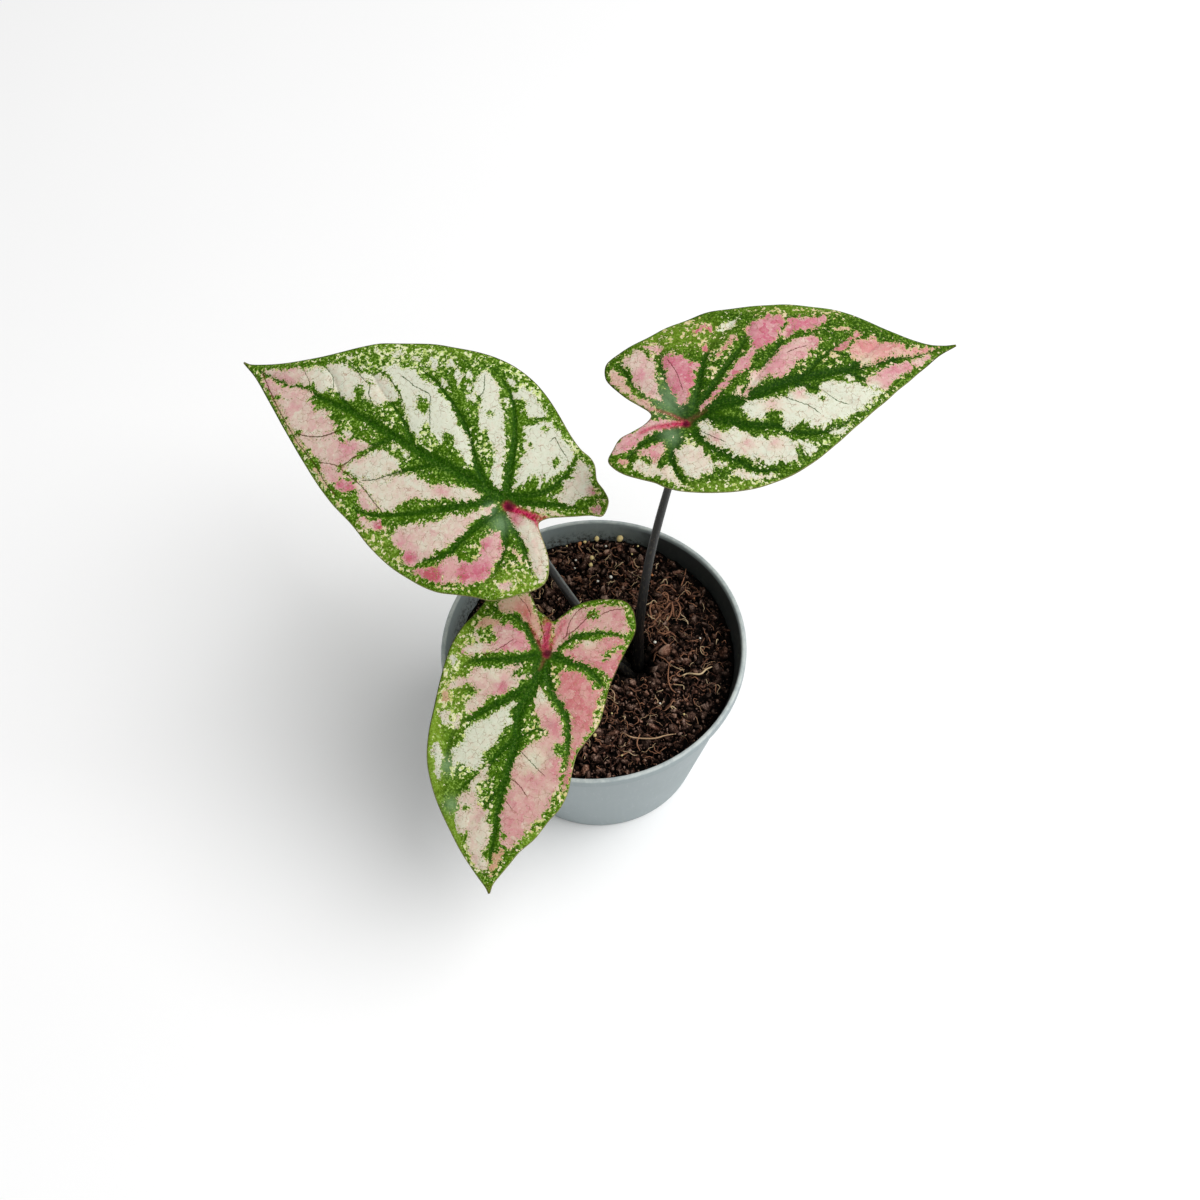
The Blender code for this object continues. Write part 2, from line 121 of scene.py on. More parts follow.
# ---------------------------------------------------------------- leaf markings, drawn on the sheet
# pale: (pinkness 0 cream to 1 deep rose, salmon 0 to 1, outline). islands: green inside the pale.
# blobs: (x, y, radius, pinkness). veins: strokes out from the petiole. lets: thin dark lines over the pale, with widths.
# specks: (density, x, y, x radius, y radius). red: outlines of crimson by the petiole. painted_sheen: (x, y, radius)
# painted sheen, a grey-green reflection where light glances off the blade. yellow: yellow-green by the margin; along
# the front blade's left margin it is a painted highlight where light catches the edge.
MARKS = {
    "left": dict(
        pale=[
            (.12, 0, [(261,371),(270,369),(278,369),(287,369),(292,367),(301,367),(305,369),(309,368),(319,367),(324,369),(327,365),(335,364),(340,363),(348,365),(352,367),(355,371),(359,373),(365,372),(368,374),(374,375),(381,375),(388,377),(394,386),(399,394),(401,399),(398,398),(389,401),(384,402),(381,407),(378,407),(373,404),(370,400),(367,401),(364,398),(363,386),(357,386),(355,401),(348,401),(344,398),(340,395),(338,392),(330,390),(323,393),(319,392),(314,389),(314,384),(309,384),(306,387),(299,386),(298,383),(294,386),(288,384),(280,380),(270,376)]),
            (0, 0, [(382,366),(388,364),(398,364),(402,368),(405,367),(415,368),(419,373),(421,377),(427,381),(434,383),(438,388),(441,394),(447,399),(451,404),(455,412),(456,419),(459,425),(464,431),(467,436),(470,442),(471,451),(471,462),(470,467),(467,464),(462,457),(458,451),(454,445),(452,437),(448,431),(444,436),(442,443),(438,443),(435,437),(431,436),(429,430),(429,425),(425,424),(422,428),(421,443),(419,440),(415,436),(410,431),(408,423),(405,417),(404,409),(402,400),(400,393),(394,384),(388,375),(382,372)]),
            (.05, 0, [(481,372),(488,371),(493,375),(496,380),(500,386),(501,399),(501,404),(504,412),(505,420),(506,431),(506,442),(506,458),(503,467),(502,479),(502,490),(500,491),(497,489),(494,484),(491,479),(490,471),(492,465),(494,452),(492,445),(489,439),(487,432),(484,431),(480,433),(478,423),(477,412),(481,407),(480,402),(481,397),(471,394),(473,390),(474,383),(477,379),(479,375)]),
            (0, 0, [(465,396),(470,394),(477,398),(478,402),(470,401)]),
            (0, 0, [(454,372),(458,370),(463,374),(462,381),(459,385),(455,378)]),
            (0, 0, [(464,374),(469,370),(473,373),(473,378),(466,379)]),
            (0, 0, [(447,365),(450,359),(455,361),(457,367),(452,370)]),
            (0, 0, [(427,357),(432,355),(437,358),(440,364),(437,371),(431,369)]),
            (0, 0, [(411,354),(417,355),(421,354),(422,361),(416,364),(411,360)]),
            (0, 0, [(372,350),(378,349),(382,353),(376,355)]),
            (0, 0, [(360,365),(366,365),(368,368),(362,369)]),
            (0, 0, [(519,387),(526,386),(532,390),(535,395),(537,399),(541,404),(543,409),(547,413),(545,417),(537,419),(530,418),(525,414),(526,408),(527,402),(519,399),(517,394)]),
            (0, 0, [(507,378),(513,378),(518,384),(513,388),(507,383)]),
            (0, 0, [(503,398),(508,398),(510,406),(506,409),(503,404)]),
            (.05, 0, [(524,428),(532,425),(537,423),(545,421),(551,423),(555,427),(560,432),(562,438),(566,442),(571,446),(575,451),(574,458),(570,461),(570,466),(564,471),(560,473),(557,477),(552,480),(546,481),(545,476),(544,481),(541,490),(538,488),(539,482),(536,473),(531,478),(527,482),(520,487),(515,489),(511,489),(512,484),(515,481),(516,471),(520,465),(521,459),(525,452),(523,448),(525,442),(523,434)]),
            (.15, 0, [(576,462),(580,459),(586,462),(589,466),(590,472),(591,480),(593,487),(598,494),(596,496),(590,496),(584,499),(577,501),(571,506),(566,504),(560,501),(552,497),(551,495),(559,494),(563,490),(560,484),(565,480),(572,477),(570,472),(575,470)]),
            (.65, 0, [(600,500),(603,504),(602,510),(600,515),(592,514),(589,511),(594,506),(598,502)]),
            (.1, .5, [(521,506),(540,507),(549,511),(560,514),(570,516),(550,516),(546,515),(535,511),(525,508)]),
            (.2, 0, [(507,511),(514,510),(524,515),(534,520),(541,526),(544,534),(547,543),(549,552),(550,562),(549,572),(545,582),(540,583),(535,576),(531,566),(528,556),(525,546),(521,537),(516,530),(511,522),(508,516)]),
            (.45, .3, [(512,549),(515,546),(520,555),(525,562),(526,566),(520,562),(515,556)]),
            (.3, 0, [(500,581),(505,580),(511,579),(512,585),(510,590),(505,592),(497,591),(496,587)]),
            (.5, 0, [(494,530),(499,530),(502,539),(504,547),(501,556),(496,564),(492,570),(490,575),(484,581),(475,584),(465,585),(461,582),(461,572),(462,564),(471,562),(477,559),(481,550),(480,541),(486,537),(491,532)]),
            (.52, .1, [(440,564),(445,557),(450,555),(456,556),(460,561),(460,583),(445,585),(441,580)]),
            (.78, .1, [(410,570),(415,567),(425,567),(432,567),(439,567),(440,577),(441,583),(432,582),(425,579),(417,576),(412,572)]),
            (.3, 0, [(397,528),(404,526),(409,522),(420,525),(431,521),(440,520),(450,515),(460,514),(465,515),(471,512),(478,510),(486,507),(495,504),(496,506),(490,515),(481,517),(475,522),(468,526),(465,532),(459,537),(456,542),(448,544),(444,549),(435,552),(432,557),(425,559),(416,564),(409,566),(402,564),(402,556),(404,551),(399,550),(395,545),(391,540),(392,534)]),
            (.16, 0, [(346,466),(350,461),(356,459),(365,456),(370,451),(379,449),(387,450),(391,456),(397,459),(401,465),(399,470),(392,472),(387,477),(375,478),(362,480),(357,478),(350,473),(344,470)]),
            (.22, 0, [(360,482),(375,480),(387,479),(395,474),(405,472),(415,474),(420,479),(429,482),(431,486),(440,483),(450,485),(460,487),(470,488),(477,492),(483,496),(477,499),(465,502),(452,501),(440,499),(425,500),(412,499),(406,500),(400,506),(392,512),(387,512),(381,510),(375,502),(370,497),(365,490),(360,486)]),
            (.4, 0, [(350,475),(356,481),(361,487),(367,494),(373,503),(378,510),(370,511),(362,510),(359,505),(357,498),(357,487),(350,480)]),
            (.8, 0, [(334,486),(341,479),(350,480),(356,485),(356,490),(350,492),(341,492),(335,490)]),
            (.55, 0, [(261,374),(265,377),(274,380),(280,383),(287,388),(289,390),(286,394),(278,398),(273,397),(268,391),(264,385)]),
            (.38, 0, [(278,399),(286,396),(293,397),(301,396),(307,398),(311,402),(315,405),(314,410),(322,409),(329,410),(330,414),(326,417),(331,419),(335,423),(339,426),(332,432),(325,435),(311,436),(301,434),(295,432),(290,426),(285,418),(281,410),(278,403)]),
            (.36, 0, [(297,436),(311,437),(326,437),(339,435),(340,440),(344,442),(350,440),(359,440),(367,442),(370,444),(367,448),(357,452),(353,459),(348,463),(344,466),(332,463),(319,462),(314,457),(309,451),(302,444)]),
            (.43, 0, [(320,464),(332,466),(339,469),(343,472),(349,477),(341,479),(335,482),(330,485),(325,482),(321,475),(319,469)]),
            (.45, 0, [(357,514),(365,517),(370,520),(380,520),(384,525),(387,530),(380,532),(372,529),(362,527),(357,520)]),
            (.12, 0, [(343,431),(350,429),(353,434),(349,439),(343,438)]),
            (.1, 0, [(402,451),(407,450),(410,455),(407,460),(402,458)]),
            (.1, 0, [(390,446),(398,444),(399,448),(392,450)]),
            (.3, .6, [(272,399),(279,402),(286,416),(292,427),(298,436),(305,447),(311,456),(308,459),(300,448),(292,437),(284,424),(277,411)]),
            (.3, .6, [(312,467),(319,470),(326,482),(330,489),(325,488),(317,478)]),
            (.3, .6, [(334,498),(338,500),(342,506),(338,507)]),
            (.4, 0, [(299,429),(318,430),(334,429),(337,441),(318,442),(303,441)]),
            (.45, 0, [(318,458),(332,458),(346,461),(348,471),(336,471),(322,469)]),
            (.35, 0, [(282,386),(300,386),(314,392),(311,403),(290,402),(278,398)]),
            (.22, 0, [(358,476),(375,475),(389,474),(392,484),(375,486),(360,486)]),
            (.35, 0, [(354,480),(362,484),(373,499),(382,510),(375,511),(364,499),(355,489)]),
            (.55, 0, [(457,562),(465,562),(465,585),(457,585)]), (.68, 0, [(435,566),(445,560),(445,584),(435,583)]),
            (.05, 0, [(392,352),(400,350),(404,355),(397,359)]), (.05, 0, [(441,378),(447,380),(449,386),(443,387)]),
            (.05, 0, [(384,357),(390,356),(392,361),(386,362)]), (0, 0, [(466,384),(472,385),(472,391),(467,391)]),
            (.05, 0, [(345,356),(352,354),(356,358),(349,361)]), (0, 0, [(512,392),(517,393),(518,399),(513,399)]),
        ],
        islands=[[(419,395),(424,397),(427,401),(429,405),(428,411),(425,414),(421,412),(417,408),(417,402)]],
        spots=[(545,429,3),(530,445,2),(556,463,4),(340,467,3),(490,414,2.5),(369,383,2.5)],
        blobs=[(283,377,20,.5),(348,449,8,.75),(380,527,5,1),(408,556,8,1),(433,575,7,1),(480,575,10,.85),(490,545,9,.7),(464,575,8,.85),(440,490,8,.5),(415,505,8,.45),(594,492,5,.8),(517,517,6,.75),(505,582,4,.5),(403,545,9,.55),(360,458,6,.35)],
        veins=[
            (1.5, [(505,497),(460,473),(413,447),(355,413),(308,392),(259,371)]), (1.0, [(491,494),(476,463),(465,426),(452,403),(436,382),(423,371)]),
            (1.0, [(507,489),(511,463),(515,432),(512,398),(502,379)]), (.9, [(512,497),(544,492),(562,479),(575,460)]), (.9, [(515,502),(557,505),(596,510)]),
            (1.0, [(489,500),(452,507),(413,513),(376,515),(355,510)]), (1.0, [(494,513),(465,536),(444,555),(413,562)]),
            (.9, [(502,515),(505,541),(497,568),(486,583)]), (.9, [(507,515),(520,539),(528,562),(531,575)]),
            (.6, [(415,449),(401,417),(382,392),(372,374)]), (.6, [(355,413),(340,396),(332,376),(327,369)]), (.6, [(395,437),(370,446),(345,455),(318,462)]), (.6, [(440,463),(405,470),(372,480),(350,476)]),
        ],
        lets=[(.5, [(327,369),(332,376),(333,388),(332,392)]), (.6, [(357,371),(365,381),(370,385),(369,393),(371,401)]), (.9, [(382,373),(388,376),(394,385),(400,394),(402,401)]), (.5, [(305,372),(309,380),(310,385)]), (.6, [(403,377),(410,382),(414,386),(422,390),(430,395),(430,404),(430,424)]), (.6, [(485,376),(484,390),(481,395),(477,399)]), (.6, [(551,441),(555,438),(560,447),(566,456)]), (.8, [(296,434),(311,437),(325,436),(340,430)]), (.7, [(320,462),(332,464),(340,467)]), (1.0, [(340,467),(348,462),(355,456),(365,455),(372,448),(380,446)]), (.7, [(342,470),(350,477),(358,483),(365,490),(373,501),(381,511)]), (.6, [(362,480),(375,479),(390,474),(402,471)]), (.8, [(262,372),(272,396),(280,412),(290,430),(300,446),(310,458),(318,470),(326,484),(334,494)])],
        specks=[(.82,418,358,68,15),(.9,388,417,12,12),(.8,348,424,10,8),(.8,376,438,6,8),(.9,428,445,15,7),(.7,472,457,9,20),(.8,486,451,9,20),(.8,426,434,8,12),(.9,376,543,20,20),(.9,517,576,26,18),(.5,452,589,20,5),(.9,478,551,9,10),(.9,530,390,12,12),(.7,520,365,22,10),(.7,572,445,10,12),(.6,380,500,14,10),(.5,330,442,10,6),(.7,400,560,14,8)],
        red=[(1.0, 4.6, 2.6, [(507,506),(515,510),(524,513),(534,516),(541,519)]), (1.0, 2.4, 2.2, [(528,516),(535,521),(540,528),(544,538)]), (.8, 1.3, 1.3, [(534,514),(541,516),(548,517)]), (.45, 3.4, 1.6, [(508,509),(512,517),(517,525)])],
        core=(509, 506.5, 5.4),
        painted_sheen=[(500,524,9),(490,509,6)],
        yellow=[(.25,430,352,60,10),(.7,518,585,30,14),(.5,375,548,26,16)],
    ),
    "right": dict(
        pale=[
            (.4, 0, [(621,359),(626,357),(631,356),(633,351),(639,350),(644,351),(646,355),(650,359),(656,360),(656,367),(655,374),(658,382),(658,390),(663,396),(663,401),(656,399),(649,396),(642,392),(635,385),(631,377),(630,371),(624,367)]),
            (.5, 0, [(642,346),(649,344),(659,344),(664,348),(662,353),(655,355),(648,353)]),
            (.75, 0, [(662,358),(667,354),(681,354),(687,359),(692,362),(701,363),(703,365),(698,369),(692,371),(696,377),(694,385),(690,390),(689,398),(687,404),(683,407),(679,404),(676,398),(672,390),(667,382),(666,374),(663,365)]),
            (.42, .3, [(609,367),(614,367),(621,374),(626,383),(631,390),(637,396),(649,401),(659,410),(667,413),(650,410),(646,408),(631,399),(621,391),(610,382)]),
            (.55, 0, [(650,418),(659,419),(672,420),(685,421),(678,427),(667,428),(659,431),(649,436),(640,440),(637,444),(631,450),(627,454),(612,454),(613,448),(617,441),(623,435),(633,430),(642,424)]),
            (.75, .3, [(617,460),(622,457),(629,460),(628,465),(621,467)]),
            (.6, .1, [(637,450),(642,449),(649,446),(659,442),(663,440),(665,448),(665,453),(659,458),(655,463),(650,462),(650,458),(640,458)]),
            (.15, .15, [(632,464),(639,460),(651,465),(656,463),(659,467),(672,465),(674,471),(678,477),(682,485),(691,486),(691,489),(682,489),(672,483),(664,480),(656,476),(649,476),(639,473),(633,469)]),
            (.2, 0, [(675,448),(682,446),(687,444),(692,444),(701,446),(704,451),(706,455),(712,454),(712,460),(715,464),(712,472),(705,474),(701,476),(698,480),(690,480),(687,477),(683,472),(680,467),(676,460),(674,454)]),
            (.1, 0, [(714,462),(728,463),(727,467),(716,467)]),
            (.1, 0, [(697,423),(703,420),(709,418),(711,423),(715,430),(719,427),(722,431),(728,431),(731,426),(736,426),(741,430),(749,431),(754,436),(762,436),(767,440),(772,435),(778,436),(788,436),(794,439),(799,440),(799,446),(796,451),(799,456),(796,462),(787,464),(779,460),(778,464),(772,465),(767,465),(760,467),(754,464),(749,458),(741,456),(733,456),(731,451),(724,448),(718,449),(712,442),(705,439),(701,431)]),
            (.15, 0, [(731,473),(736,468),(742,467),(745,473),(753,473),(762,474),(773,472),(776,474),(771,478),(759,480),(746,480),(736,477)]),
            (0, 0, [(800,440),(808,439),(811,444),(814,446),(819,446),(817,451),(812,455),(807,456),(803,451),(801,446)]),
            (.05, 0, [(741,409),(742,405),(749,401),(760,399),(769,398),(780,396),(785,395),(790,391),(798,387),(805,385),(807,390),(811,394),(817,393),(822,390),(819,386),(824,382),(831,380),(842,381),(847,383),(852,382),(860,382),(865,385),(873,389),(883,390),(888,387),(885,391),(879,396),(873,400),(871,405),(865,409),(860,412),(852,414),(847,418),(839,420),(833,421),(830,423),(828,427),(812,428),(808,427),(808,422),(801,423),(796,426),(787,430),(784,426),(783,418),(780,410),(772,410),(768,414),(762,419),(753,420),(748,417),(746,412)]),
            (.58, 0, [(864,381),(870,376),(879,371),(888,366),(898,363),(908,361),(917,358),(929,353),(933,355),(929,360),(920,367),(912,369),(908,373),(899,378),(893,385),(888,390),(873,389),(866,385)]),
            (.62, .3, [(847,351),(852,344),(857,339),(865,339),(871,336),(876,337),(880,341),(889,342),(901,344),(906,346),(911,349),(930,346),(940,346),(924,353),(911,355),(898,356),(882,359),(875,364),(860,365),(860,360),(852,358),(852,354)]),
            (.78, .1, [(830,351),(837,346),(846,340),(852,335),(858,331),(864,335),(858,337),(853,341),(848,348),(842,351),(833,353)]),
            (.4, .6, [(830,327),(838,327),(849,328),(852,330),(843,331),(834,330)]),
            (.8, 0, [(781,333),(784,328),(789,319),(796,317),(810,317),(819,316),(829,317),(825,323),(820,327),(811,330),(805,332),(796,331),(790,337),(785,337)]),
            (.75, 0, [(745,327),(753,322),(759,317),(772,315),(784,315),(783,324),(780,331),(780,340),(771,344),(763,349),(756,349),(754,354),(751,360),(749,367),(742,372),(735,377),(730,383),(722,390),(715,396),(708,404),(700,412),(699,409),(706,400),(718,387),(726,377),(733,367),(742,356),(750,349),(750,341),(746,333)]),
            (.6, 0, [(753,371),(762,368),(768,362),(774,355),(778,349),(783,344),(793,339),(802,336),(811,335),(817,335),(820,339),(819,345),(817,349),(808,351),(811,356),(802,359),(796,363),(792,369),(787,374),(781,380),(778,377),(771,376),(762,380),(753,387),(748,394),(741,397),(748,385),(749,377)]),
            (.8, 0, [(693,330),(701,326),(705,321),(708,326),(714,327),(712,332),(704,330),(699,335),(693,334)]),
            (.8, 0, [(702,346),(705,344),(708,346),(708,350),(705,352),(702,350)]),
            (.6, .3, [(712,360),(717,353),(723,345),(730,337),(733,335),(736,339),(730,345),(723,353),(717,360)]),
            (.1, 0, [(719,330),(726,322),(739,317),(738,322),(729,328),(722,332)]),
            (0, 0, [(828,433),(831,430),(842,427),(849,424),(852,426),(846,432),(839,435)]),
            (.1, 0, [(844,376),(850,374),(855,379),(850,382)]),
            (.3, .2, [(733,394),(738,388),(745,382),(742,389),(736,396)]),
        ],
        islands=[], spots=[(823,398,3),(758,461,2),(762,464,2)],
        blobs=[(640,377,7,.6),(715,437,6,.45),(748,445,6,.45),(775,443,6,.45),(800,392,7,.4),(772,405,7,.4),(895,366,10,.65),(875,387,6,0),(865,361,6,.15),(757,380,8,.3),(690,470,7,.1),(840,400,10,.0),(685,408,4,.3)],
        veins=[
            (1.5, [(690,420),(715,405),(740,398),(770,388),(800,378),(830,372),(855,368),(875,362),(900,357),(925,352),(945,347)]),
            (1.0, [(700,418),(730,420),(750,425),(775,425),(800,432),(830,430),(850,420)]), (1.0, [(697,432),(712,445),(730,455),(745,463),(760,470),(780,468)]),
            (.9, [(678,440),(672,455),(676,470),(685,483)]), (.9, [(675,430),(655,437),(640,445),(628,458)]), (1.0, [(684,418),(668,400),(650,392),(635,385),(625,372),(620,365)]),
            (.9, [(686,412),(672,390),(663,370),(660,350),(655,335)]), (.9, [(694,410),(698,390),(702,370),(706,355),(715,340),(730,325)]), (.9, [(700,405),(725,368),(742,345),(750,325)]),
            (.7, [(740,398),(765,365),(782,342),(790,330)]), (.6, [(800,378),(830,350),(845,338)]), (.6, [(790,382),(825,390),(850,402)]), (.6, [(845,370),(872,382),(890,388)]), (.6, [(850,368),(870,350),(882,340)]),
        ],
        lets=[(.6, [(783,396),(792,400),(807,405),(814,409),(819,413)]), (.6, [(825,390),(834,398),(842,402),(848,403)]), (.5, [(755,457),(760,463),(766,465)]), (.5, [(700,430),(712,436),(724,441)]), (.5, [(788,352),(798,348),(806,346)]), (.5, [(668,360),(676,372),(682,388)])],
        specks=[(.95,680,335,42,16),(.95,730,486,44,7),(.8,714,373,10,10),(.8,803,366,10,8),(.8,834,361,10,8),(.7,912,351,18,6),(.6,880,399,26,18),(.8,828,441,9,6),(.8,690,440,14,6),(.7,640,360,20,10),(.9,800,312,60,6),(.7,720,350,12,18),(.7,870,376,14,6),(.7,622,400,14,8)],
        red=[(.85, 3.6, 1.8, [(687,423),(676,424),(664,426),(652,428),(640,433)]), (.42, 2.4, 1.2, [(684,420),(672,415),(660,411),(650,408)]), (.14, 3.4, 2.0, [(687,422),(696,416),(706,409)])],
        core=(686, 423.5, 3.6),
        painted_sheen=[(668,399,16), (671,435,9)],
        yellow=[(.8,672,334,48,16),(.7,735,488,46,7),(.6,800,309,60,6),(.6,620,400,16,10)],
    ),
    "front": dict(
        pale=[
            (.34, .5, [(496,604),(500,600),(511,596),(529,594),(533,601),(536,610),(540,619),(543,633),(541,643),(537,641),(534,633),(529,626),(523,621),(519,614),(506,613),(499,611)]),
            (1.0, 0, [(544,621),(550,622),(553,627),(551,637),(549,647),(546,653),(541,647),(542,633)]),
            (.58, .12, [(552,653),(553,637),(556,624),(563,617),(571,611),(584,606),(599,605),(611,604),(623,605),(626,611),(627,620),(631,630),(627,633),(620,633),(611,631),(599,630),(589,631),(577,634),(570,637),(563,643)]),
            (.76, .18, [(563,651),(571,649),(577,643),(589,640),(600,639),(610,636),(620,637),(624,640),(626,646),(623,651),(621,659),(619,667),(616,676),(610,687),(609,679),(601,670),(593,667),(584,663),(574,661),(566,656)]),
            (.74, .25, [(557,676),(563,670),(571,670),(580,671),(587,676),(591,681),(593,689),(600,689),(604,687),(600,699),(597,709),(594,717),(593,726),(590,733),(581,745),(577,750),(572,761),(572,772),(569,782),(564,792),(560,790),(564,777),(566,765),(570,752),(571,740),(571,726),(570,714),(564,709),(563,701),(556,696),(554,690),(559,687),(559,681)]),
            (.5, .12, [(540,687),(544,690),(546,696),(551,704),(556,709),(559,717),(563,726),(564,740),(564,748),(562,761),(561,772),(561,781),(559,790),(552,797),(550,805),(545,814),(539,820),(532,826),(526,834),(520,841),(515,846),(510,850),(505,847),(500,846),(499,840),(500,830),(500,815),(504,802),(507,789),(511,788),(510,772),(514,765),(519,752),(524,747),(530,742),(541,738),(547,734),(540,727),(539,719),(534,713),(534,701),(536,693)]),
            (.58, 0, [(503,624),(509,621),(513,627),(520,629),(526,634),(530,643),(533,649),(520,653),(511,653),(500,651),(491,651),(480,653),(470,656),(461,654),(460,647),(467,644),(474,643),(483,641),(494,643),(497,639),(493,631),(491,626)]),
            (.5, .6, [(481,619),(489,617),(500,619),(500,624),(491,627),(477,629),(474,626)]),
            (.2, .2, [(473,629),(477,628),(480,643),(475,642)]),
            (.34, 0, [(476,664),(483,667),(500,668),(511,664),(523,664),(520,669),(513,671),(514,676),(531,674),(529,679),(519,680),(519,687),(511,689),(500,696),(489,696),(486,703),(477,709),(470,713),(464,710),(467,701),(476,694),(477,690),(470,684),(459,687),(447,689),(451,681),(459,676),(467,677),(471,671)]),
            (.05, 0, [(513,701),(506,704),(500,709),(491,711),(489,717),(480,720),(470,724),(466,730),(464,739),(458,745),(451,750),(451,759),(452,766),(460,764),(473,769),(475,772),(480,769),(485,764),(482,757),(486,752),(492,747),(497,743),(501,733),(506,726),(513,724),(511,716),(510,710),(517,703)]),
            (.25, 0, [(485,765),(475,777),(470,782),(469,790),(464,794),(457,797),(459,805),(455,815),(456,825),(459,832),(464,837),(467,831),(466,846),(470,856),(475,866),(482,872),(487,872),(488,862),(485,860),(482,854),(487,846),(490,835),(492,825),(487,820),(489,810),(480,807),(479,800),(477,790),(477,784),(486,781),(490,766)]),
            (.45, .8, [(491,857),(497,850),(502,850),(505,852),(501,859),(497,869),(492,875),(490,879),(489,870)]),
            (.05, 0, [(432,742),(439,741),(442,747),(444,756),(440,765),(442,772),(440,781),(436,776),(435,765),(432,752)]),
            (.4, .8, [(441,692),(447,690),(451,697),(447,703),(441,701)]),
            (.15, 0, [(439,711),(449,709),(450,723),(442,726)]),
            (.2, 0, [(453,717),(461,715),(460,728),(454,729)]),
            (.1, 0, [(451,654),(456,655),(457,672),(452,670)]),
        ],
        islands=[[(587,612),(598,611),(598,618),(589,619)], [(554,744),(570,746),(570,756),(556,757)], [(603,655),(610,650),(618,646),(622,645),(622,648),(611,655),(604,660)]],
        spots=[(504,836,2.5),(466,808,2.5),(484,873,2.5)],
        blobs=[(524,611,8,.95),(546,627,6,.85),(590,643,8,.2),(542,697,7,.0),(555,730,9,.7),(534,761,10,.05),(556,772,8,.75),(535,783,7,.75),(522,812,14,.62),(512,838,10,.55),(515,641,8,.65),(475,650,10,.2),(495,668,8,.2),(502,689,8,.75),(480,811,6,.5),(473,857,6,.5),(570,685,9,.9),(585,715,10,.8)],
        veins=[
            (1.6, [(543,660),(540,675),(533,690),(523,705),(518,720),(516,740),(512,757),(508,772),(503,787),(500,800),(497,815),(495,830),(492,848),(490,860)]),
            (.9, [(541,648),(533,638),(525,625),(515,616),(507,612),(490,605)]), (1.0, [(541,655),(515,659),(490,659),(470,662),(460,668)]),
            (1.0, [(533,685),(505,700),(490,707),(475,716),(462,722),(452,735),(445,760)]), (.9, [(552,652),(562,643),(575,637),(590,634),(605,633),(620,637)]),
            (1.0, [(555,657),(570,662),(583,666),(592,673),(598,680),(603,688),(602,700)]), (1.0, [(546,662),(548,680),(553,692),(560,703),(566,715),(569,730),(568,750),(566,770),(563,785)]),
            (.7, [(518,735),(500,752),(483,772),(466,783),(452,800)]), (.6, [(505,780),(490,800),(480,812),(470,822)]), (.6, [(516,738),(535,730),(550,726)]), (.6, [(508,775),(530,768),(548,757)]), (.9, [(520,660),(505,680),(480,688),(455,690)]),
        ],
        lets=[(.6, [(545,648),(544,636),(541,624),(537,612)]), (.6, [(547,646),(548,634),(551,622)]), (.6, [(566,636),(570,622),(579,610),(590,605)]), (.5, [(520,598),(527,606),(531,616)]), (.7, [(564,638),(577,628),(587,618),(593,614)]), (.7, [(603,614),(613,610),(626,609)]), (.6, [(520,751),(529,760),(537,769),(544,775)]), (.7, [(511,779),(519,785),(526,795)]), (.6, [(505,800),(511,808)]), (.6, [(484,655),(500,648),(512,640)])],
        specks=[(.9,457,712,20,24),(.9,461,771,12,8),(.9,534,729,15,12),(.8,553,677,7,13),(.7,600,717,8,18),(.7,562,802,9,13),(.7,535,828,11,9),(.9,485,795,12,14),(.9,450,690,14,34),(.7,478,640,26,12),(.6,560,800,10,18),(.8,470,860,10,14)],
        red=[(.66, 3.6, 5.4, [(546,655),(546,646),(547,636),(547,622)]), (.5, 2.6, 1.6, [(543,650),(538,640),(532,628),(527,614)]), (.55, 3.0, 2.4, [(548,651),(553,642),(558,632),(565,622)]), (.22, 2.6, 1.2, [(545,656),(542,664),(539,670)])],
        core=(547.5, 653.5, 4.6),
        painted_sheen=[(447,765,9), (452,805,8)],
        # the yellow along this blade's left margin is a painted highlight where light catches the edge
        yellow=[(1.0,433,745,11,80),(.9,452,850,10,50),(.7,458,640,12,30),(.6,452,690,14,40),(.5,540,838,30,8)],
    ),
}


# ---------------------------------------------------------------- plane geometry with numpy
def segments(points, closed=True):
    a = np.asarray(points, float)
    b = np.roll(a, -1, axis=0)
    return (a, b) if closed else (a[:-1], b[:-1])


def line_distance(p, points, closed=True):
    """Distance from each point to a polyline, with the share of its length at the nearest place and the side."""
    a, b = segments(points, closed)
    ab = b - a
    ll = np.maximum((ab ** 2).sum(1), 1e-9)
    run = np.r_[0.0, np.cumsum(np.sqrt(ll))]
    best = np.full(len(p), 1e9)
    share, side = np.zeros(len(p)), np.zeros(len(p))
    for i in range(len(a)):
        ap = p - a[i]
        t = np.clip((ap @ ab[i]) / ll[i], 0.0, 1.0)
        d = np.hypot(*(ap - t[:, None] * ab[i]).T)
        near = d < best
        best[near] = d[near]
        share[near] = (run[i] + t[near] * math.sqrt(ll[i])) / run[-1]
        side[near] = np.sign(ap[near, 0] * ab[i, 1] - ap[near, 1] * ab[i, 0])
    return best, share, side


def within(p, points):
    a, b = segments(points)
    hit = np.zeros(len(p), bool)
    for i in range(len(a)):
        if a[i, 1] == b[i, 1]:
            continue
        cross = (a[i, 1] > p[:, 1]) != (b[i, 1] > p[:, 1])
        x = a[i, 0] + (b[i, 0] - a[i, 0]) * (p[:, 1] - a[i, 1]) / (b[i, 1] - a[i, 1])
        hit ^= cross & (p[:, 0] < x)
    return hit


def signed(p, points):
    d = line_distance(p, points)[0]
    return np.where(within(p, points), d, -d)


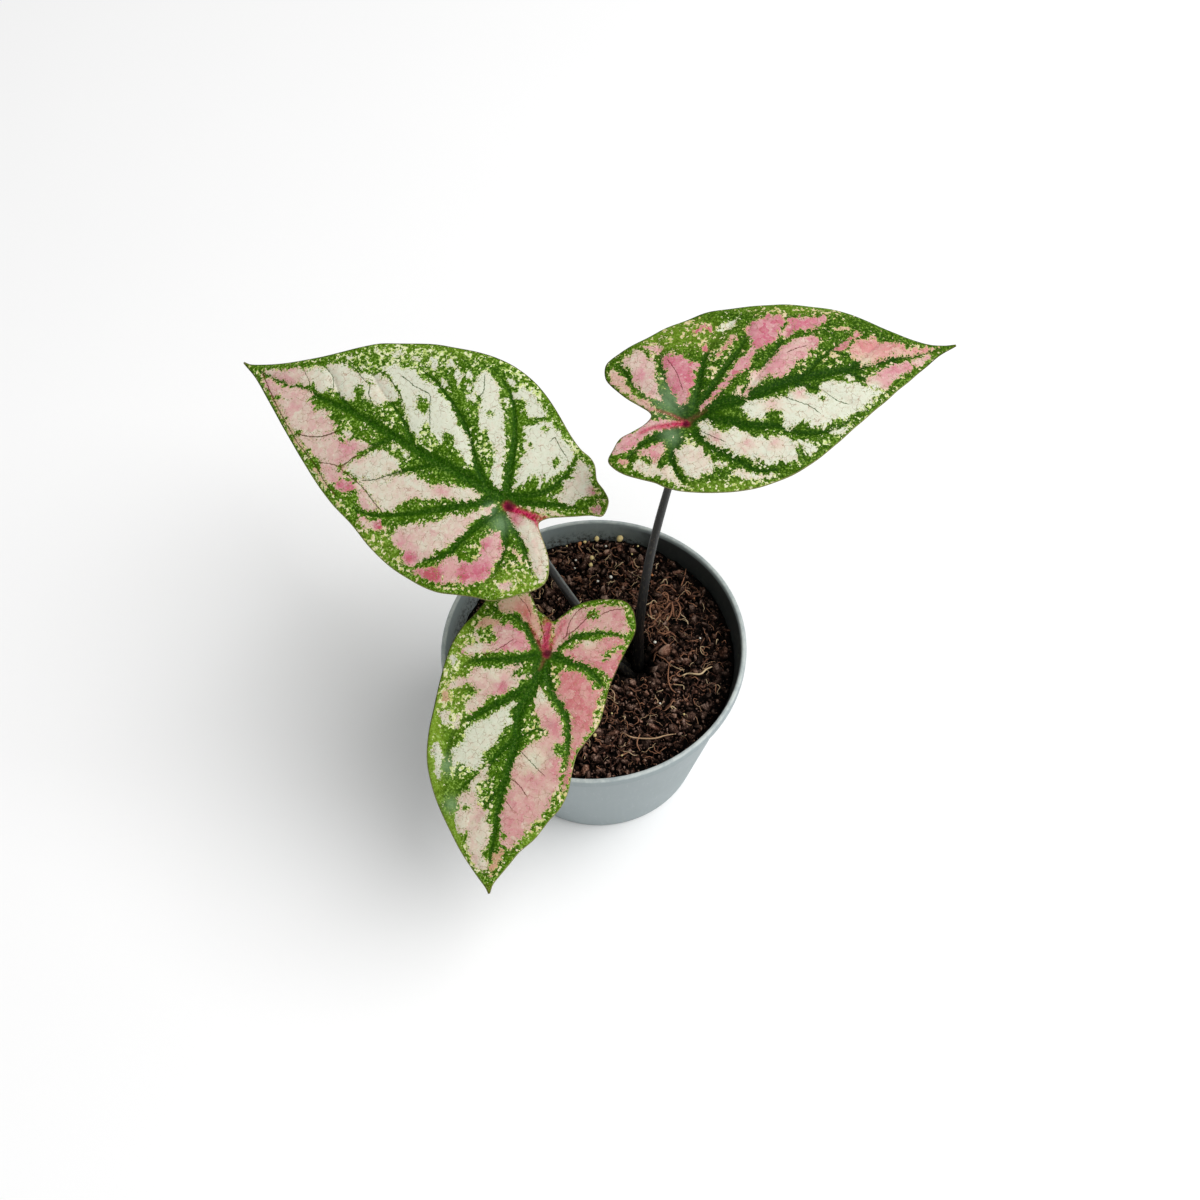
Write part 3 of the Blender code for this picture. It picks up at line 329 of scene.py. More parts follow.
def closed_curve(points, step):
    """Catmull-Rom curve through the points, at even steps."""
    pts = np.asarray(points, float)
    t = (np.arange(12) / 12.0)[:, None]
    fine = []
    for i in range(len(pts)):
        p0, p1, p2, p3 = pts[i - 1], pts[i], pts[(i + 1) % len(pts)], pts[(i + 2) % len(pts)]
        fine.append(0.5 * (2 * p1 + (p2 - p0) * t + (2 * p0 - 5 * p1 + 4 * p2 - p3) * t ** 2 + (3 * p1 - p0 - 3 * p2 + p3) * t ** 3))
    fine = np.vstack(fine + [fine[0][:1]])
    run = np.r_[0.0, np.cumsum(np.hypot(*np.diff(fine, axis=0).T))]
    count = max(12, round(run[-1] / step))
    s = run[-1] * np.arange(count) / count
    return np.c_[np.interp(s, run, fine[:, 0]), np.interp(s, run, fine[:, 1])]


def open_curve(points, count):
    """Smooth curve through the points, in any number of dimensions."""
    pts = np.asarray(points, float)
    pts = np.vstack([2 * pts[0] - pts[1], pts, 2 * pts[-1] - pts[-2]])
    t = (np.arange(10) / 10.0)[:, None]
    fine = []
    for i in range(1, len(pts) - 2):
        p0, p1, p2, p3 = pts[i - 1], pts[i], pts[i + 1], pts[i + 2]
        fine.append(0.5 * (2 * p1 + (p2 - p0) * t + (2 * p0 - 5 * p1 + 4 * p2 - p3) * t ** 2 + (3 * p1 - p0 - 3 * p2 + p3) * t ** 3))
    fine = np.vstack(fine + [pts[-2][None]])
    run = np.r_[0.0, np.cumsum(np.linalg.norm(np.diff(fine, axis=0), axis=1))]
    s = np.linspace(0, run[-1], count)
    return np.stack([np.interp(s, run, fine[:, k]) for k in range(pts.shape[1])], 1)


def waves(p, scale, seed, octaves=4):
    """Smooth value noise of points in any dimension, about -1 to 1."""
    out, amp, total = np.zeros(len(p)), 1.0, 0.0
    r = np.random.default_rng(seed)
    for _ in range(octaves):
        acc = np.zeros(len(p))
        for _ in range(6):
            d = unit(r.normal(size=p.shape[1]))
            acc += np.sin((p @ d) * 2 * math.pi / scale * r.uniform(0.7, 1.3) + r.uniform(0, 6.3))
        out += amp * acc / 2.5
        total += amp
        amp *= 0.55
        scale *= 0.48
    return out / total


# ---------------------------------------------------------------- meshes
def mesh_object(name, verts_mm, faces, mats, smooth=True, face_mat=None, attrs=None):
    me = bpy.data.meshes.new(name)
    verts = np.asarray(verts_mm, np.float32) * MM
    faces = np.asarray(faces, np.int32)
    k = faces.shape[1]
    me.vertices.add(len(verts))
    me.vertices.foreach_set("co", verts.ravel())
    me.loops.add(faces.size)
    me.loops.foreach_set("vertex_index", faces.ravel())
    me.polygons.add(len(faces))
    me.polygons.foreach_set("loop_start", np.arange(0, faces.size, k, dtype=np.int32))
    me.polygons.foreach_set("loop_total", np.full(len(faces), k, np.int32))
    for m in mats:
        me.materials.append(m)
    if face_mat is not None:
        me.polygons.foreach_set("material_index", np.asarray(face_mat, np.int32))
    me.update(calc_edges=True)
    me.validate()
    if smooth:
        me.shade_smooth()
    for key, values in (attrs or {}).items():
        a = me.attributes.new(key, "FLOAT", "POINT")
        a.data.foreach_set("value", np.asarray(values, np.float32))
    ob = bpy.data.objects.new(name, me)
    bpy.context.scene.collection.objects.link(ob)
    return ob


def tube_mesh(path, radii, sides=8, squash=None):
    """Closed tube along a path, as vertices and triangles."""
    path = np.asarray(path, float)
    n = len(path)
    tan = unit(np.gradient(path, axis=0))
    side = np.array([1.0, 0.0, 0.0]) if abs(tan[0, 0]) < 0.9 else np.array([0.0, 1.0, 0.0])
    ang = 2 * math.pi * np.arange(sides) / sides
    verts = []
    for i in range(n):
        side = unit(side - tan[i] * (side @ tan[i]))
        other = np.cross(tan[i], side)
        r = radii[i] if np.ndim(radii[i]) else np.full(sides, radii[i])
        verts.append(path[i] + np.outer(np.cos(ang) * r, side) + np.outer(np.sin(ang) * r, other))
    verts = np.vstack(verts + [path[:1], path[-1:]])
    i, j = np.meshgrid(np.arange(n - 1), np.arange(sides), indexing="ij")
    a, b = (i * sides + j).ravel(), (i * sides + (j + 1) % sides).ravel()
    faces = np.vstack([np.c_[a, b, b + sides], np.c_[a, b + sides, a + sides]])
    k = np.arange(sides)
    first = np.c_[(k + 1) % sides, k, np.full(sides, n * sides)]
    last = np.c_[(n - 1) * sides + k, (n - 1) * sides + (k + 1) % sides, np.full(sides, n * sides + 1)]
    return verts, np.vstack([faces, first, last])


def join_parts(parts):
    """Many (vertices, faces) into one, with the number of the part on each vertex."""
    verts, faces, tag, base = [], [], [], 0
    for k, (v, f) in enumerate(parts):
        verts.append(v)
        faces.append(f + base)
        tag.append(np.full(len(v), k))
        base += len(v)
    return np.vstack(verts), np.vstack(faces), np.concatenate(tag)


# ---------------------------------------------------------------- materials
def srgb(r, g, b):
    def lin(c):
        c /= 255.0
        return c / 12.92 if c <= 0.04045 else ((c + 0.055) / 1.055) ** 2.4
    return (lin(r), lin(g), lin(b), 1.0)


class Tree:
    """Short hand for a material's nodes; lengths in the shader are millimetres."""

    def __init__(self, name):
        self.mat = bpy.data.materials.new(name)
        self.mat.use_nodes = True
        self.t = self.mat.node_tree
        self.t.nodes.clear()
        self.out = self.t.nodes.new("ShaderNodeOutputMaterial")
        self.bsdf = self.t.nodes.new("ShaderNodeBsdfPrincipled")
        self.t.links.new(self.bsdf.outputs[0], self.out.inputs[0])
        tc = self.t.nodes.new("ShaderNodeTexCoord")
        mp = self.t.nodes.new("ShaderNodeMapping")
        mp.inputs["Scale"].default_value = (1000.0, 1000.0, 1000.0)
        self.t.links.new(tc.outputs["Object"], mp.inputs["Vector"])
        self.p = mp.outputs[0]

    def put(self, socket, value):
        if isinstance(value, bpy.types.NodeSocket):
            self.t.links.new(value, socket)
        elif value is not None:
            if hasattr(socket.default_value, "__len__") and not hasattr(value, "__len__"):
                value = (value,) * len(socket.default_value)
            socket.default_value = value

    def math(self, op, a, b=None, c=None, clamp=False):
        n = self.t.nodes.new("ShaderNodeMath")
        n.operation, n.use_clamp = op, clamp
        for s, v in zip(n.inputs, (a, b, c)):
            self.put(s, v)
        return n.outputs[0]

    def mix(self, f, a, b, kind="MIX"):
        n = self.t.nodes.new("ShaderNodeMix")
        n.data_type, n.blend_type = "RGBA", kind
        self.put(n.inputs[0], f)
        self.put(n.inputs[6], a)
        self.put(n.inputs[7], b)
        return n.outputs[2]

    def step(self, v, lo, hi, a=0.0, b=1.0):
        n = self.t.nodes.new("ShaderNodeMapRange")
        n.interpolation_type = "SMOOTHSTEP"
        for s, x in zip(n.inputs[:5], (v, lo, hi, a, b)):
            self.put(s, x)
        return n.outputs[0]

    def line(self, v, lo, hi, a=0.0, b=1.0):
        n = self.t.nodes.new("ShaderNodeMapRange")
        for s, x in zip(n.inputs[:5], (v, lo, hi, a, b)):
            self.put(s, x)
        return n.outputs[0]

    def noise(self, scale, detail=3.0, rough=0.55, vec=None, out=0, distortion=0.0):
        n = self.t.nodes.new("ShaderNodeTexNoise")
        self.put(n.inputs["Vector"], vec or self.p)
        self.put(n.inputs["Scale"], scale)
        self.put(n.inputs["Detail"], detail)
        self.put(n.inputs["Roughness"], rough)
        self.put(n.inputs["Distortion"], distortion)
        return n.outputs[out]

    def voronoi(self, scale, feature="F1", vec=None, out=0, rand=1.0):
        n = self.t.nodes.new("ShaderNodeTexVoronoi")
        n.feature = feature
        self.put(n.inputs["Vector"], vec or self.p)
        self.put(n.inputs["Scale"], scale)
        self.put(n.inputs["Randomness"], rand)
        return n.outputs[out]

    def stretch(self, vec, scale):
        n = self.t.nodes.new("ShaderNodeMapping")
        self.put(n.inputs["Vector"], vec)
        n.inputs["Scale"].default_value = scale
        return n.outputs[0]

    def warp(self, scale, amount, vec=None):
        c = self.noise(scale, 2.0, 0.5, vec, out=1)
        n = self.t.nodes.new("ShaderNodeVectorMath")
        n.operation = "MULTIPLY_ADD"
        self.put(n.inputs[0], c)
        self.put(n.inputs[1], (amount,) * 3)
        self.put(n.inputs[2], vec or self.p)
        return n.outputs[0]

    def attr(self, name):
        n = self.t.nodes.new("ShaderNodeAttribute")
        n.attribute_name = name
        return n.outputs["Fac"]

    def ramp(self, f, stops):
        n = self.t.nodes.new("ShaderNodeValToRGB")
        e = n.color_ramp.elements
        while len(e) < len(stops):
            e.new(0.5)
        for x, (pos, colour) in zip(e, stops):
            x.position, x.color = pos, colour
        self.put(n.inputs[0], f)
        return n.outputs[0]

    def bump(self, height, strength, distance_mm, normal=None):
        n = self.t.nodes.new("ShaderNodeBump")
        self.put(n.inputs["Strength"], strength)
        n.inputs["Distance"].default_value = distance_mm * MM
        self.put(n.inputs["Height"], height)
        if normal is not None:
            self.put(n.inputs["Normal"], normal)
        return n.outputs[0]

    def done(self, colour, rough, normal=None, specular=0.3):
        self.put(self.bsdf.inputs["Base Color"], colour)
        self.put(self.bsdf.inputs["Roughness"], rough)
        self.put(self.bsdf.inputs["Specular IOR Level"], specular)
        if normal is not None:
            self.put(self.bsdf.inputs["Normal"], normal)
        return self.mat


def leaf_top():
    m = Tree("leaf_upper_skin")
    wp = m.warp(0.5, 1.3)
    pale, rim, vein = m.attr("pale"), m.attr("rim"), m.attr("vein")

    def wobble(scale, detail, rough, size, vec):
        return m.math("MULTIPLY", m.math("SUBTRACT", m.noise(scale, detail, rough, vec), 0.5), size)

    # fingers of colour that lean along the veins
    finger = m.t.nodes.new("ShaderNodeCombineXYZ")
    m.put(finger.inputs[0], m.math("SUBTRACT", m.attr("run"), m.math("MULTIPLY", m.attr("away"), 0.55)))
    m.put(finger.inputs[1], m.math("MULTIPLY", m.attr("away"), 0.30))
    m.put(finger.inputs[2], m.math("MULTIPLY", m.attr("hand"), 4.0))
    fv = finger.outputs[0]
    ragged = m.math("ADD", m.math("ADD", wobble(0.62, 2.0, 0.6, 3.0, wp), wobble(0.80, 2.0, 0.58, 4.0, fv)), m.math("ADD", wobble(1.7, 1.5, 0.55, 2.0, m.p), wobble(3.2, 1.0, 0.6, 0.5, m.p)))
    ragged = m.math("MULTIPLY", ragged, m.math("ADD", m.math("MULTIPLY", m.attr("dim"), 0.06), 0.88))
    d = m.math("ADD", m.math("SUBTRACT", pale, 0.12), ragged)
    inside = m.step(d, -0.05, 0.05)

    # greens: dark along the veins, mottled between, yellower at the margin
    cells = m.noise(1.5, 3.0, 0.65, wp)
    patches = m.noise(0.22, 3.0, 0.6)
    green = m.mix(m.step(cells, 0.38, 0.62), srgb(35, 73, 0), srgb(66, 103, 5))
    green = m.mix(m.step(patches, 0.42, 0.66, 0.0, 0.4), green, srgb(88, 126, 14))
    green = m.mix(m.math("MULTIPLY", m.step(vein, 0.1, 0.75), 0.9), green, m.mix(m.step(cells, 0.4, 0.62), srgb(22, 60, 0), srgb(38, 82, 0)))
    margin = m.math("MULTIPLY", m.step(m.math("ADD", rim, m.math("MULTIPLY", m.noise(0.5, 3.0), -5.0)), 2.2, -1.8), 0.7)
    green = m.mix(margin, green, m.mix(m.step(cells, 0.4, 0.6), srgb(50, 90, 2), srgb(96, 130, 16)))
    # yellow-green zones by the margin; along the front blade's left margin this is a painted highlight where light
    # catches the edge
    green = m.mix(m.math("MULTIPLY", m.attr("yellow"), 0.8), green, m.mix(cells, srgb(112, 148, 28), srgb(146, 172, 60)))
    grit = m.noise(1.25, 2.0, 0.7, m.warp(1.6, 0.6))
    open_skin = m.math("SUBTRACT", 1.0, m.math("MULTIPLY", m.step(vein, 0.1, 0.6), 0.8))
    green = m.mix(m.math("MULTIPLY", m.step(grit, 0.53, 0.64, 0.0, 0.8), open_skin), green, srgb(150, 184, 84))
    green = m.mix(m.step(grit, 0.47, 0.33, 0.0, 0.5), green, srgb(22, 54, 0))
    green = m.mix(m.math("MULTIPLY", m.attr("deep"), 0.75), green, m.mix(1.0, green, (0.66, 0.72, 0.5, 1.0), "MULTIPLY"))
    # painted sheen: the green turns grey-green where light glances off the blade
    green = m.mix(m.math("MULTIPLY", m.attr("painted_sheen"), 0.75), green, m.mix(cells, srgb(84, 122, 76), srgb(138, 164, 124)))

    # pale patches: cream, white-pink, rose, with a fine mottle and faint darker netting
    tone = m.math("ADD", m.math("SUBTRACT", m.attr("pink"), 0.04), wobble(0.5, 3.0, 0.6, 0.5, None))
    tone = m.math("ADD", tone, m.math("MULTIPLY", m.math("SUBTRACT", m.voronoi(0.34, "F1", m.warp(0.7, 2.2), out=1), 0.5), m.math("ADD", m.math("MULTIPLY", m.attr("pink"), 0.42), 0.10)))
    tone = m.math("ADD", tone, wobble(2.4, 3.0, 0.6, 0.3, None), clamp=True)
    flesh = m.ramp(tone, [(0.0, srgb(219, 222, 203)), (0.18, srgb(221, 209, 191)), (0.38, srgb(218, 184, 175)), (0.62, srgb(212, 150, 157)), (0.82, srgb(203, 116, 135)), (1.0, srgb(188, 78, 101))])
    flesh = m.mix(m.math("MULTIPLY", m.attr("salmon"), 0.8), flesh, m.mix(m.noise(1.6), srgb(200, 130, 84), srgb(216, 178, 132)))
    shade = m.noise(0.9, 3.0, 0.65)
    flesh = m.mix(m.step(shade, 0.52, 0.72, 0.0, 0.3), flesh, srgb(186, 176, 132))
    flesh = m.mix(m.step(shade, 0.44, 0.28, 0.0, 0.35), flesh, srgb(240, 236, 220))
    net = m.step(m.voronoi(0.40, "DISTANCE_TO_EDGE", m.warp(0.9, 1.3)), 0.006, 0.042, 1.0, 0.0)
    net = m.math("MULTIPLY", net, m.step(m.noise(0.33, 2.0), 0.42, 0.58))
    flesh = m.mix(m.math("MULTIPLY", net, 0.6), flesh, srgb(150, 104, 72))
    flesh = m.mix(m.step(grit, 0.62, 0.70, 0.0, 0.4), flesh, m.mix(1.0, flesh, (0.70, 0.60, 0.50, 1.0), "MULTIPLY"))
    flesh = m.mix(m.math("MULTIPLY", m.step(d, 0.42, 0.04), 0.6), flesh, srgb(198, 196, 112))
    # painted shade: the pale patches are darkened more on blades that sit in less light (dim 1 front, 0.5 left, 0.25
    # right)
    flesh = m.mix(m.attr("dim"), flesh, m.mix(1.0, flesh, (0.86, 0.865, 0.83, 1.0), "MULTIPLY"))
    colour = m.mix(inside, green, flesh)

    # cream and yellow specks in the green, thickest in the speckled zones, beside the patches and by the margin
    near = m.step(pale, -2.6, -0.1)
    density = m.math("SUBTRACT", m.math("MULTIPLY", m.attr("speck"), 0.128), m.math("MULTIPLY", m.attr("deep"), 0.006))
    density = m.math("ADD", density, m.math("MULTIPLY", near, 0.035))
    density = m.math("ADD", density, m.math("MULTIPLY", m.step(rim, 5.0, 2.0), m.math("MULTIPLY", m.step(rim, 0.3, 1.0), m.line(m.attr("deep"), 0.0, 1.0, 0.030, 0.006))))
    density = m.math("SUBTRACT", density, m.math("MULTIPLY", m.attr("yellow"), 0.05))
    density = m.math("SUBTRACT", density, m.math("MULTIPLY", m.step(vein, 0.3, 0.75), 0.13))
    grain = m.math("ADD", m.math("MULTIPLY", m.noise(0.68, 1.0, 0.55, m.warp(1.1, 0.9)), 0.74), m.math("MULTIPLY", m.noise(2.1, 1.0, 0.6), 0.26))
    fleck = m.step(m.math("ADD", grain, density), 0.635, 0.650)
    fleck = m.math("MULTIPLY", fleck, m.math("SUBTRACT", 1.0, inside))
    fleck_tone = m.mix(m.step(m.noise(0.9, 2.0), 0.4, 0.6), srgb(184, 202, 112), srgb(230, 231, 192))
    fleck_tone = m.mix(m.math("MULTIPLY", m.attr("pink"), 0.55), fleck_tone, srgb(220, 162, 138))
    colour = m.mix(m.math("MULTIPLY", fleck, 0.95), colour, fleck_tone)
    # green crumbs in the pale beside its edge
    crumb = m.math("MULTIPLY", m.step(m.noise(1.5, 2.0, 0.6), 0.60, 0.625), m.step(pale, 2.6, 0.6))
    colour = m.mix(m.math("MULTIPLY", m.math("MULTIPLY", crumb, inside), 0.9), colour, m.mix(cells, srgb(62, 96, 14), srgb(112, 138, 44)))

    # thin dark veinlets over the pale
    let = m.math("MULTIPLY", m.step(m.math("ABSOLUTE", m.math("ADD", m.attr("let"), wobble(1.4, 3.0, 0.5, 0.9, None))), m.attr("letw"), m.math("MULTIPLY", m.attr("letw"), 0.35)), m.step(m.attr("letd"), 0.9, 0.5))
    colour = m.mix(m.math("MULTIPLY", let, 0.9), colour, m.mix(m.step(m.attr("pink"), 0.2, 0.55), srgb(48, 74, 12), srgb(92, 46, 28)))
    # crimson where the ribs meet, and along the basal ribs
    red = m.math("MULTIPLY", m.attr("red"), m.step(m.noise(1.1, 3.0), 0.25, 0.6, 0.8, 1.25), clamp=True)
    colour = m.mix(red, colour, m.mix(m.step(m.noise(1.3), 0.4, 0.6), srgb(146, 6, 50), srgb(196, 56, 92)))
    colour = m.mix(m.math("MULTIPLY", m.attr("core"), 0.9), colour, srgb(66, 6, 26))
    # fine rim: the blade's thin olive margin line, paler on the near margins as a painted highlight where the edge
    # catches the light, darker on the far margins as painted shade
    rim_line_and_light = m.step(rim, 0.40, 0.20)
    colour = m.mix(m.math("MULTIPLY", rim_line_and_light, 0.8), colour, m.mix(m.step(m.attr("far"), 0.3, 0.7), m.mix(m.noise(0.4), srgb(120, 120, 62), srgb(176, 170, 116)), m.mix(m.noise(0.4), srgb(62, 58, 22), srgb(96, 92, 44))))
    # tip
    colour = m.mix(m.math("MULTIPLY", m.attr("tip"), 0.85), colour, srgb(98, 92, 26))

    fine = m.noise(3.2, 3.0, 0.6)
    pores = m.voronoi(2.6, "F1", m.warp(1.0, 0.4))
    h = m.math("ADD", m.math("MULTIPLY", fine, 0.5), m.math("MULTIPLY", pores, 0.5))
    h = m.math("SUBTRACT", h, m.math("MULTIPLY", net, 0.5))
    h = m.math("SUBTRACT", h, m.math("MULTIPLY", let, 0.6))
    normal = m.bump(h, 0.6, 0.18)
    rough = m.line(m.noise(0.6, 3.0), 0.3, 0.7, 0.44, 0.62)
    return m.done(colour, rough, normal, 0.045)


def leaf_under():
    m = Tree("leaf_lower_skin")
    wp = m.warp(0.45, 1.6)
    pale, vein = m.attr("pale"), m.attr("vein")
    d = m.math("ADD", pale, m.math("MULTIPLY", m.math("SUBTRACT", m.noise(0.85, 5.0, 0.68, wp), 0.5), 3.4))
    green = m.mix(m.noise(0.7, 4.0), srgb(112, 142, 92), srgb(142, 166, 118))
    tone = m.math("ADD", m.attr("pink"), m.math("MULTIPLY", m.math("SUBTRACT", m.noise(0.5, 3.0), 0.5), 0.4), clamp=True)
    flesh = m.ramp(tone, [(0.0, srgb(208, 210, 184)), (0.5, srgb(210, 176, 166)), (1.0, srgb(190, 130, 134))])
    colour = m.mix(m.math("MULTIPLY", m.step(d, -0.4, 0.5), 0.85), green, flesh)
    rib = m.step(vein, 0.45, 0.85)
    colour = m.mix(m.math("MULTIPLY", rib, 0.8), colour, m.mix(m.attr("near"), srgb(128, 136, 88), srgb(138, 74, 72)))
    net = m.step(m.voronoi(0.42, "DISTANCE_TO_EDGE", m.warp(0.8, 1.1)), 0.01, 0.06, 1.0, 0.0)
    colour = m.mix(m.math("MULTIPLY", net, 0.3), colour, srgb(120, 134, 88))
    colour = m.mix(m.math("MULTIPLY", m.step(m.attr("rim"), 0.5, 0.2), 0.6), colour, srgb(120, 118, 72))
    h = m.math("ADD", m.noise(3.0, 3.0, 0.6), m.math("MULTIPLY", net, 0.7))
    return m.done(colour, m.line(m.noise(0.5), 0.3, 0.7, 0.58, 0.74), m.bump(h, 0.5, 0.14), 0.2)


# ---------------------------------------------------------------- blades
class Blade:
    def __init__(self, spec):
        self.spec = spec
        self.n = unit(spec["face"])
        self.join = SIGHT + sight_lines(spec["join"])[0] * spec["reach"]
        tip = self.on_plane(np.array([spec["tip"]], float), np.zeros(1))[0]
        self.length = float(np.linalg.norm(tip - self.join))
        self.a = unit(tip - self.join)
        self.b = np.cross(self.n, self.a)

    def on_plane(self, p, lift):
        d = sight_lines(p)
        num = (self.join - SIGHT) @ self.n + lift
        return SIGHT + d * (num / (d @ self.n))[:, None]

    def lift(self, u, v):
        s, t = self.spec, u / self.length
        h = 4.0 * s["arch"] * np.where(t > 0, t * (1.0 - t), t * (1.0 - 0.3 * t))
        h = h - s["cup"] * (v / 40.0) ** 2
        h = h - 1.4 * (np.exp(-(u * u + v * v) / 60.0) - 1.0)
        return h + s["wave"] * np.sin(u / 7.5 + np.where(v > 0, 0.8, 2.6)) * np.minimum(1.0, (v / 34.0) ** 2)

    def to_uv(self, p):
        p = np.asarray(p, float)
        lift = np.zeros(len(p))
        for _ in range(40):
            q = self.on_plane(p, lift) - self.join
            u, v = q @ self.a, q @ self.b
            lift += 0.7 * (self.lift(u, v) - lift)
        return np.c_[u, v]

    def point(self, u, v, extra=0.0):
        return self.join + np.outer(u, self.a) + np.outer(v, self.b) + np.outer(self.lift(u, v) + extra, self.n)

    def normal(self, u, v):
        e = 0.05
        du = (self.lift(u + e, v) - self.lift(u - e, v)) / (2 * e)
        dv = (self.lift(u, v + e) - self.lift(u, v - e)) / (2 * e)
        return unit(self.n - np.outer(du, self.a) - np.outer(dv, self.b))


LEAF_T = 0.42
FINE, COARSE = 0.58, 0.78


def hex_points(rim, step, seed):
    lo, hi = rim.min(0), rim.max(0)
    rows = int((hi[1] - lo[1]) / (step * math.sqrt(3) / 2)) + 1
    cols = int((hi[0] - lo[0]) / step) + 2
    x, y = np.meshgrid(np.arange(cols) * step, np.arange(rows) * step * math.sqrt(3) / 2)
    x = x + (np.arange(rows) % 2)[:, None] * step / 2
    p = np.c_[x.ravel() + lo[0], y.ravel() + lo[1]]
    p = p + np.random.default_rng(seed).uniform(-0.12, 0.12, p.shape) * step
    p = p[within(p, rim)]
    # distance to the rim, found on a thinned rim first
    d = line_distance(p, rim[::4])[0]
    close = d < 2.5
    d[close] = line_distance(p[close], rim)[0]
    keep = d > 0.5 * step
    return p[keep], d[keep]


def marks_at(px, marks, scale):
    """Fields of the markings at sheet points. Distances come out in millimetres."""
    out = {}
    pale = np.full(len(px), -1e9)
    top = np.zeros(len(px))
    weight = np.full(len(px), 1e-9)
    pink, salmon = np.zeros(len(px)), np.zeros(len(px))
    for p, s, poly in marks["pale"]:
        d = signed(px, poly)
        pale = np.maximum(pale, d)
        w = 1.0 / (np.maximum(-d, 0.0) + 1.2) ** 3
        pink += w * p
        salmon += w * s
        weight += w
    for poly in marks["islands"]:
        pale = np.minimum(pale, -signed(px, poly))
    for x, y, r in marks["spots"]:
        pale = np.minimum(pale, np.hypot(px[:, 0] - x, px[:, 1] - y) - r)
    pink, salmon = pink / weight, salmon / weight
    for x, y, r, p in marks["blobs"]:
        w = np.exp(-((px[:, 0] - x) ** 2 + (px[:, 1] - y) ** 2) / (r * r) * 0.7)
        pink = pink * (1 - w) + p * w
    out["pale"], out["pink"], out["salmon"] = pale * scale, pink, salmon
    vein, line = np.zeros(len(px)), np.full(len(px), 1e9)
    run, away, hand = np.zeros(len(px)), np.full(len(px), 1e9), np.zeros(len(px))
    for k, (strength, pts) in enumerate(marks["veins"]):
        path = open_curve(pts, 40)
        d, t, side = line_distance(px, path, closed=False)
        near = d * scale < away
        away[near] = d[near] * scale
        run[near] = t[near] * np.hypot(*np.diff(path, axis=0).T).sum() * scale + 23.0 * k
        hand[near] = side[near]
        wide = (1.9 * (1 - t) + 0.55 * t) * strength
        vein = np.maximum(vein, np.exp(-((d * scale) / wide) ** 2) * (1 - 0.35 * t) * min(1.0, 0.55 + 0.45 * strength))
        line = np.minimum(line, d * scale / (0.55 + 0.45 * strength * (1 - t)))
    out["vein"], out["veind"] = vein, line
    out["run"], out["away"], out["hand"] = run, away, hand
    let, letd, letw = np.full(len(px), 9.0), np.full(len(px), 9.0), np.full(len(px), 0.2)
    for w, pts in marks["lets"]:
        d, t, side = line_distance(px, open_curve(pts, 24), closed=False)
        near = d * scale < letd
        letd[near] = d[near] * scale
        let[near] = (d * side * scale)[near]
        letw[near] = w * 0.36
    out["let"], out["letd"], out["letw"] = let, letd, letw
    speck = np.zeros(len(px))
    for s, x, y, rx, ry in marks["specks"]:
        q = ((px[:, 0] - x) / rx) ** 2 + ((px[:, 1] - y) / ry) ** 2
        speck = np.maximum(speck, s / (1.0 + np.exp((np.sqrt(q) - 1.0) * 6.0)))
    out["speck"] = speck
    red = np.zeros(len(px))
    for strength, w0, w1, pts in marks["red"]:
        d, t, _ = line_distance(px, open_curve(pts, 24), closed=False)
        red = np.maximum(red, strength * (1 - 0.3 * t) * np.exp(-(d / (w0 + (w1 - w0) * t)) ** 3))
    out["red"] = red
    x, y, r = marks["core"]
    out["core"] = np.exp(-(np.hypot(px[:, 0] - x, px[:, 1] - y) / r) ** 4)
    # painted sheen spots, where light glances off the blade as a grey-green reflection
    painted_sheen = np.zeros(len(px))
    for x, y, r in marks["painted_sheen"]:
        painted_sheen = np.maximum(painted_sheen, np.exp(-((px[:, 0] - x) ** 2 + (px[:, 1] - y) ** 2) / (r * r)))
    out["painted_sheen"] = painted_sheen
    yellow = np.zeros(len(px))
    for s, x, y, rx, ry in marks["yellow"]:
        q = ((px[:, 0] - x) / rx) ** 2 + ((px[:, 1] - y) / ry) ** 2
        yellow = np.maximum(yellow, s / (1.0 + np.exp((np.sqrt(q) - 1.0) * 5.0)))
    out["yellow"] = yellow
    return out


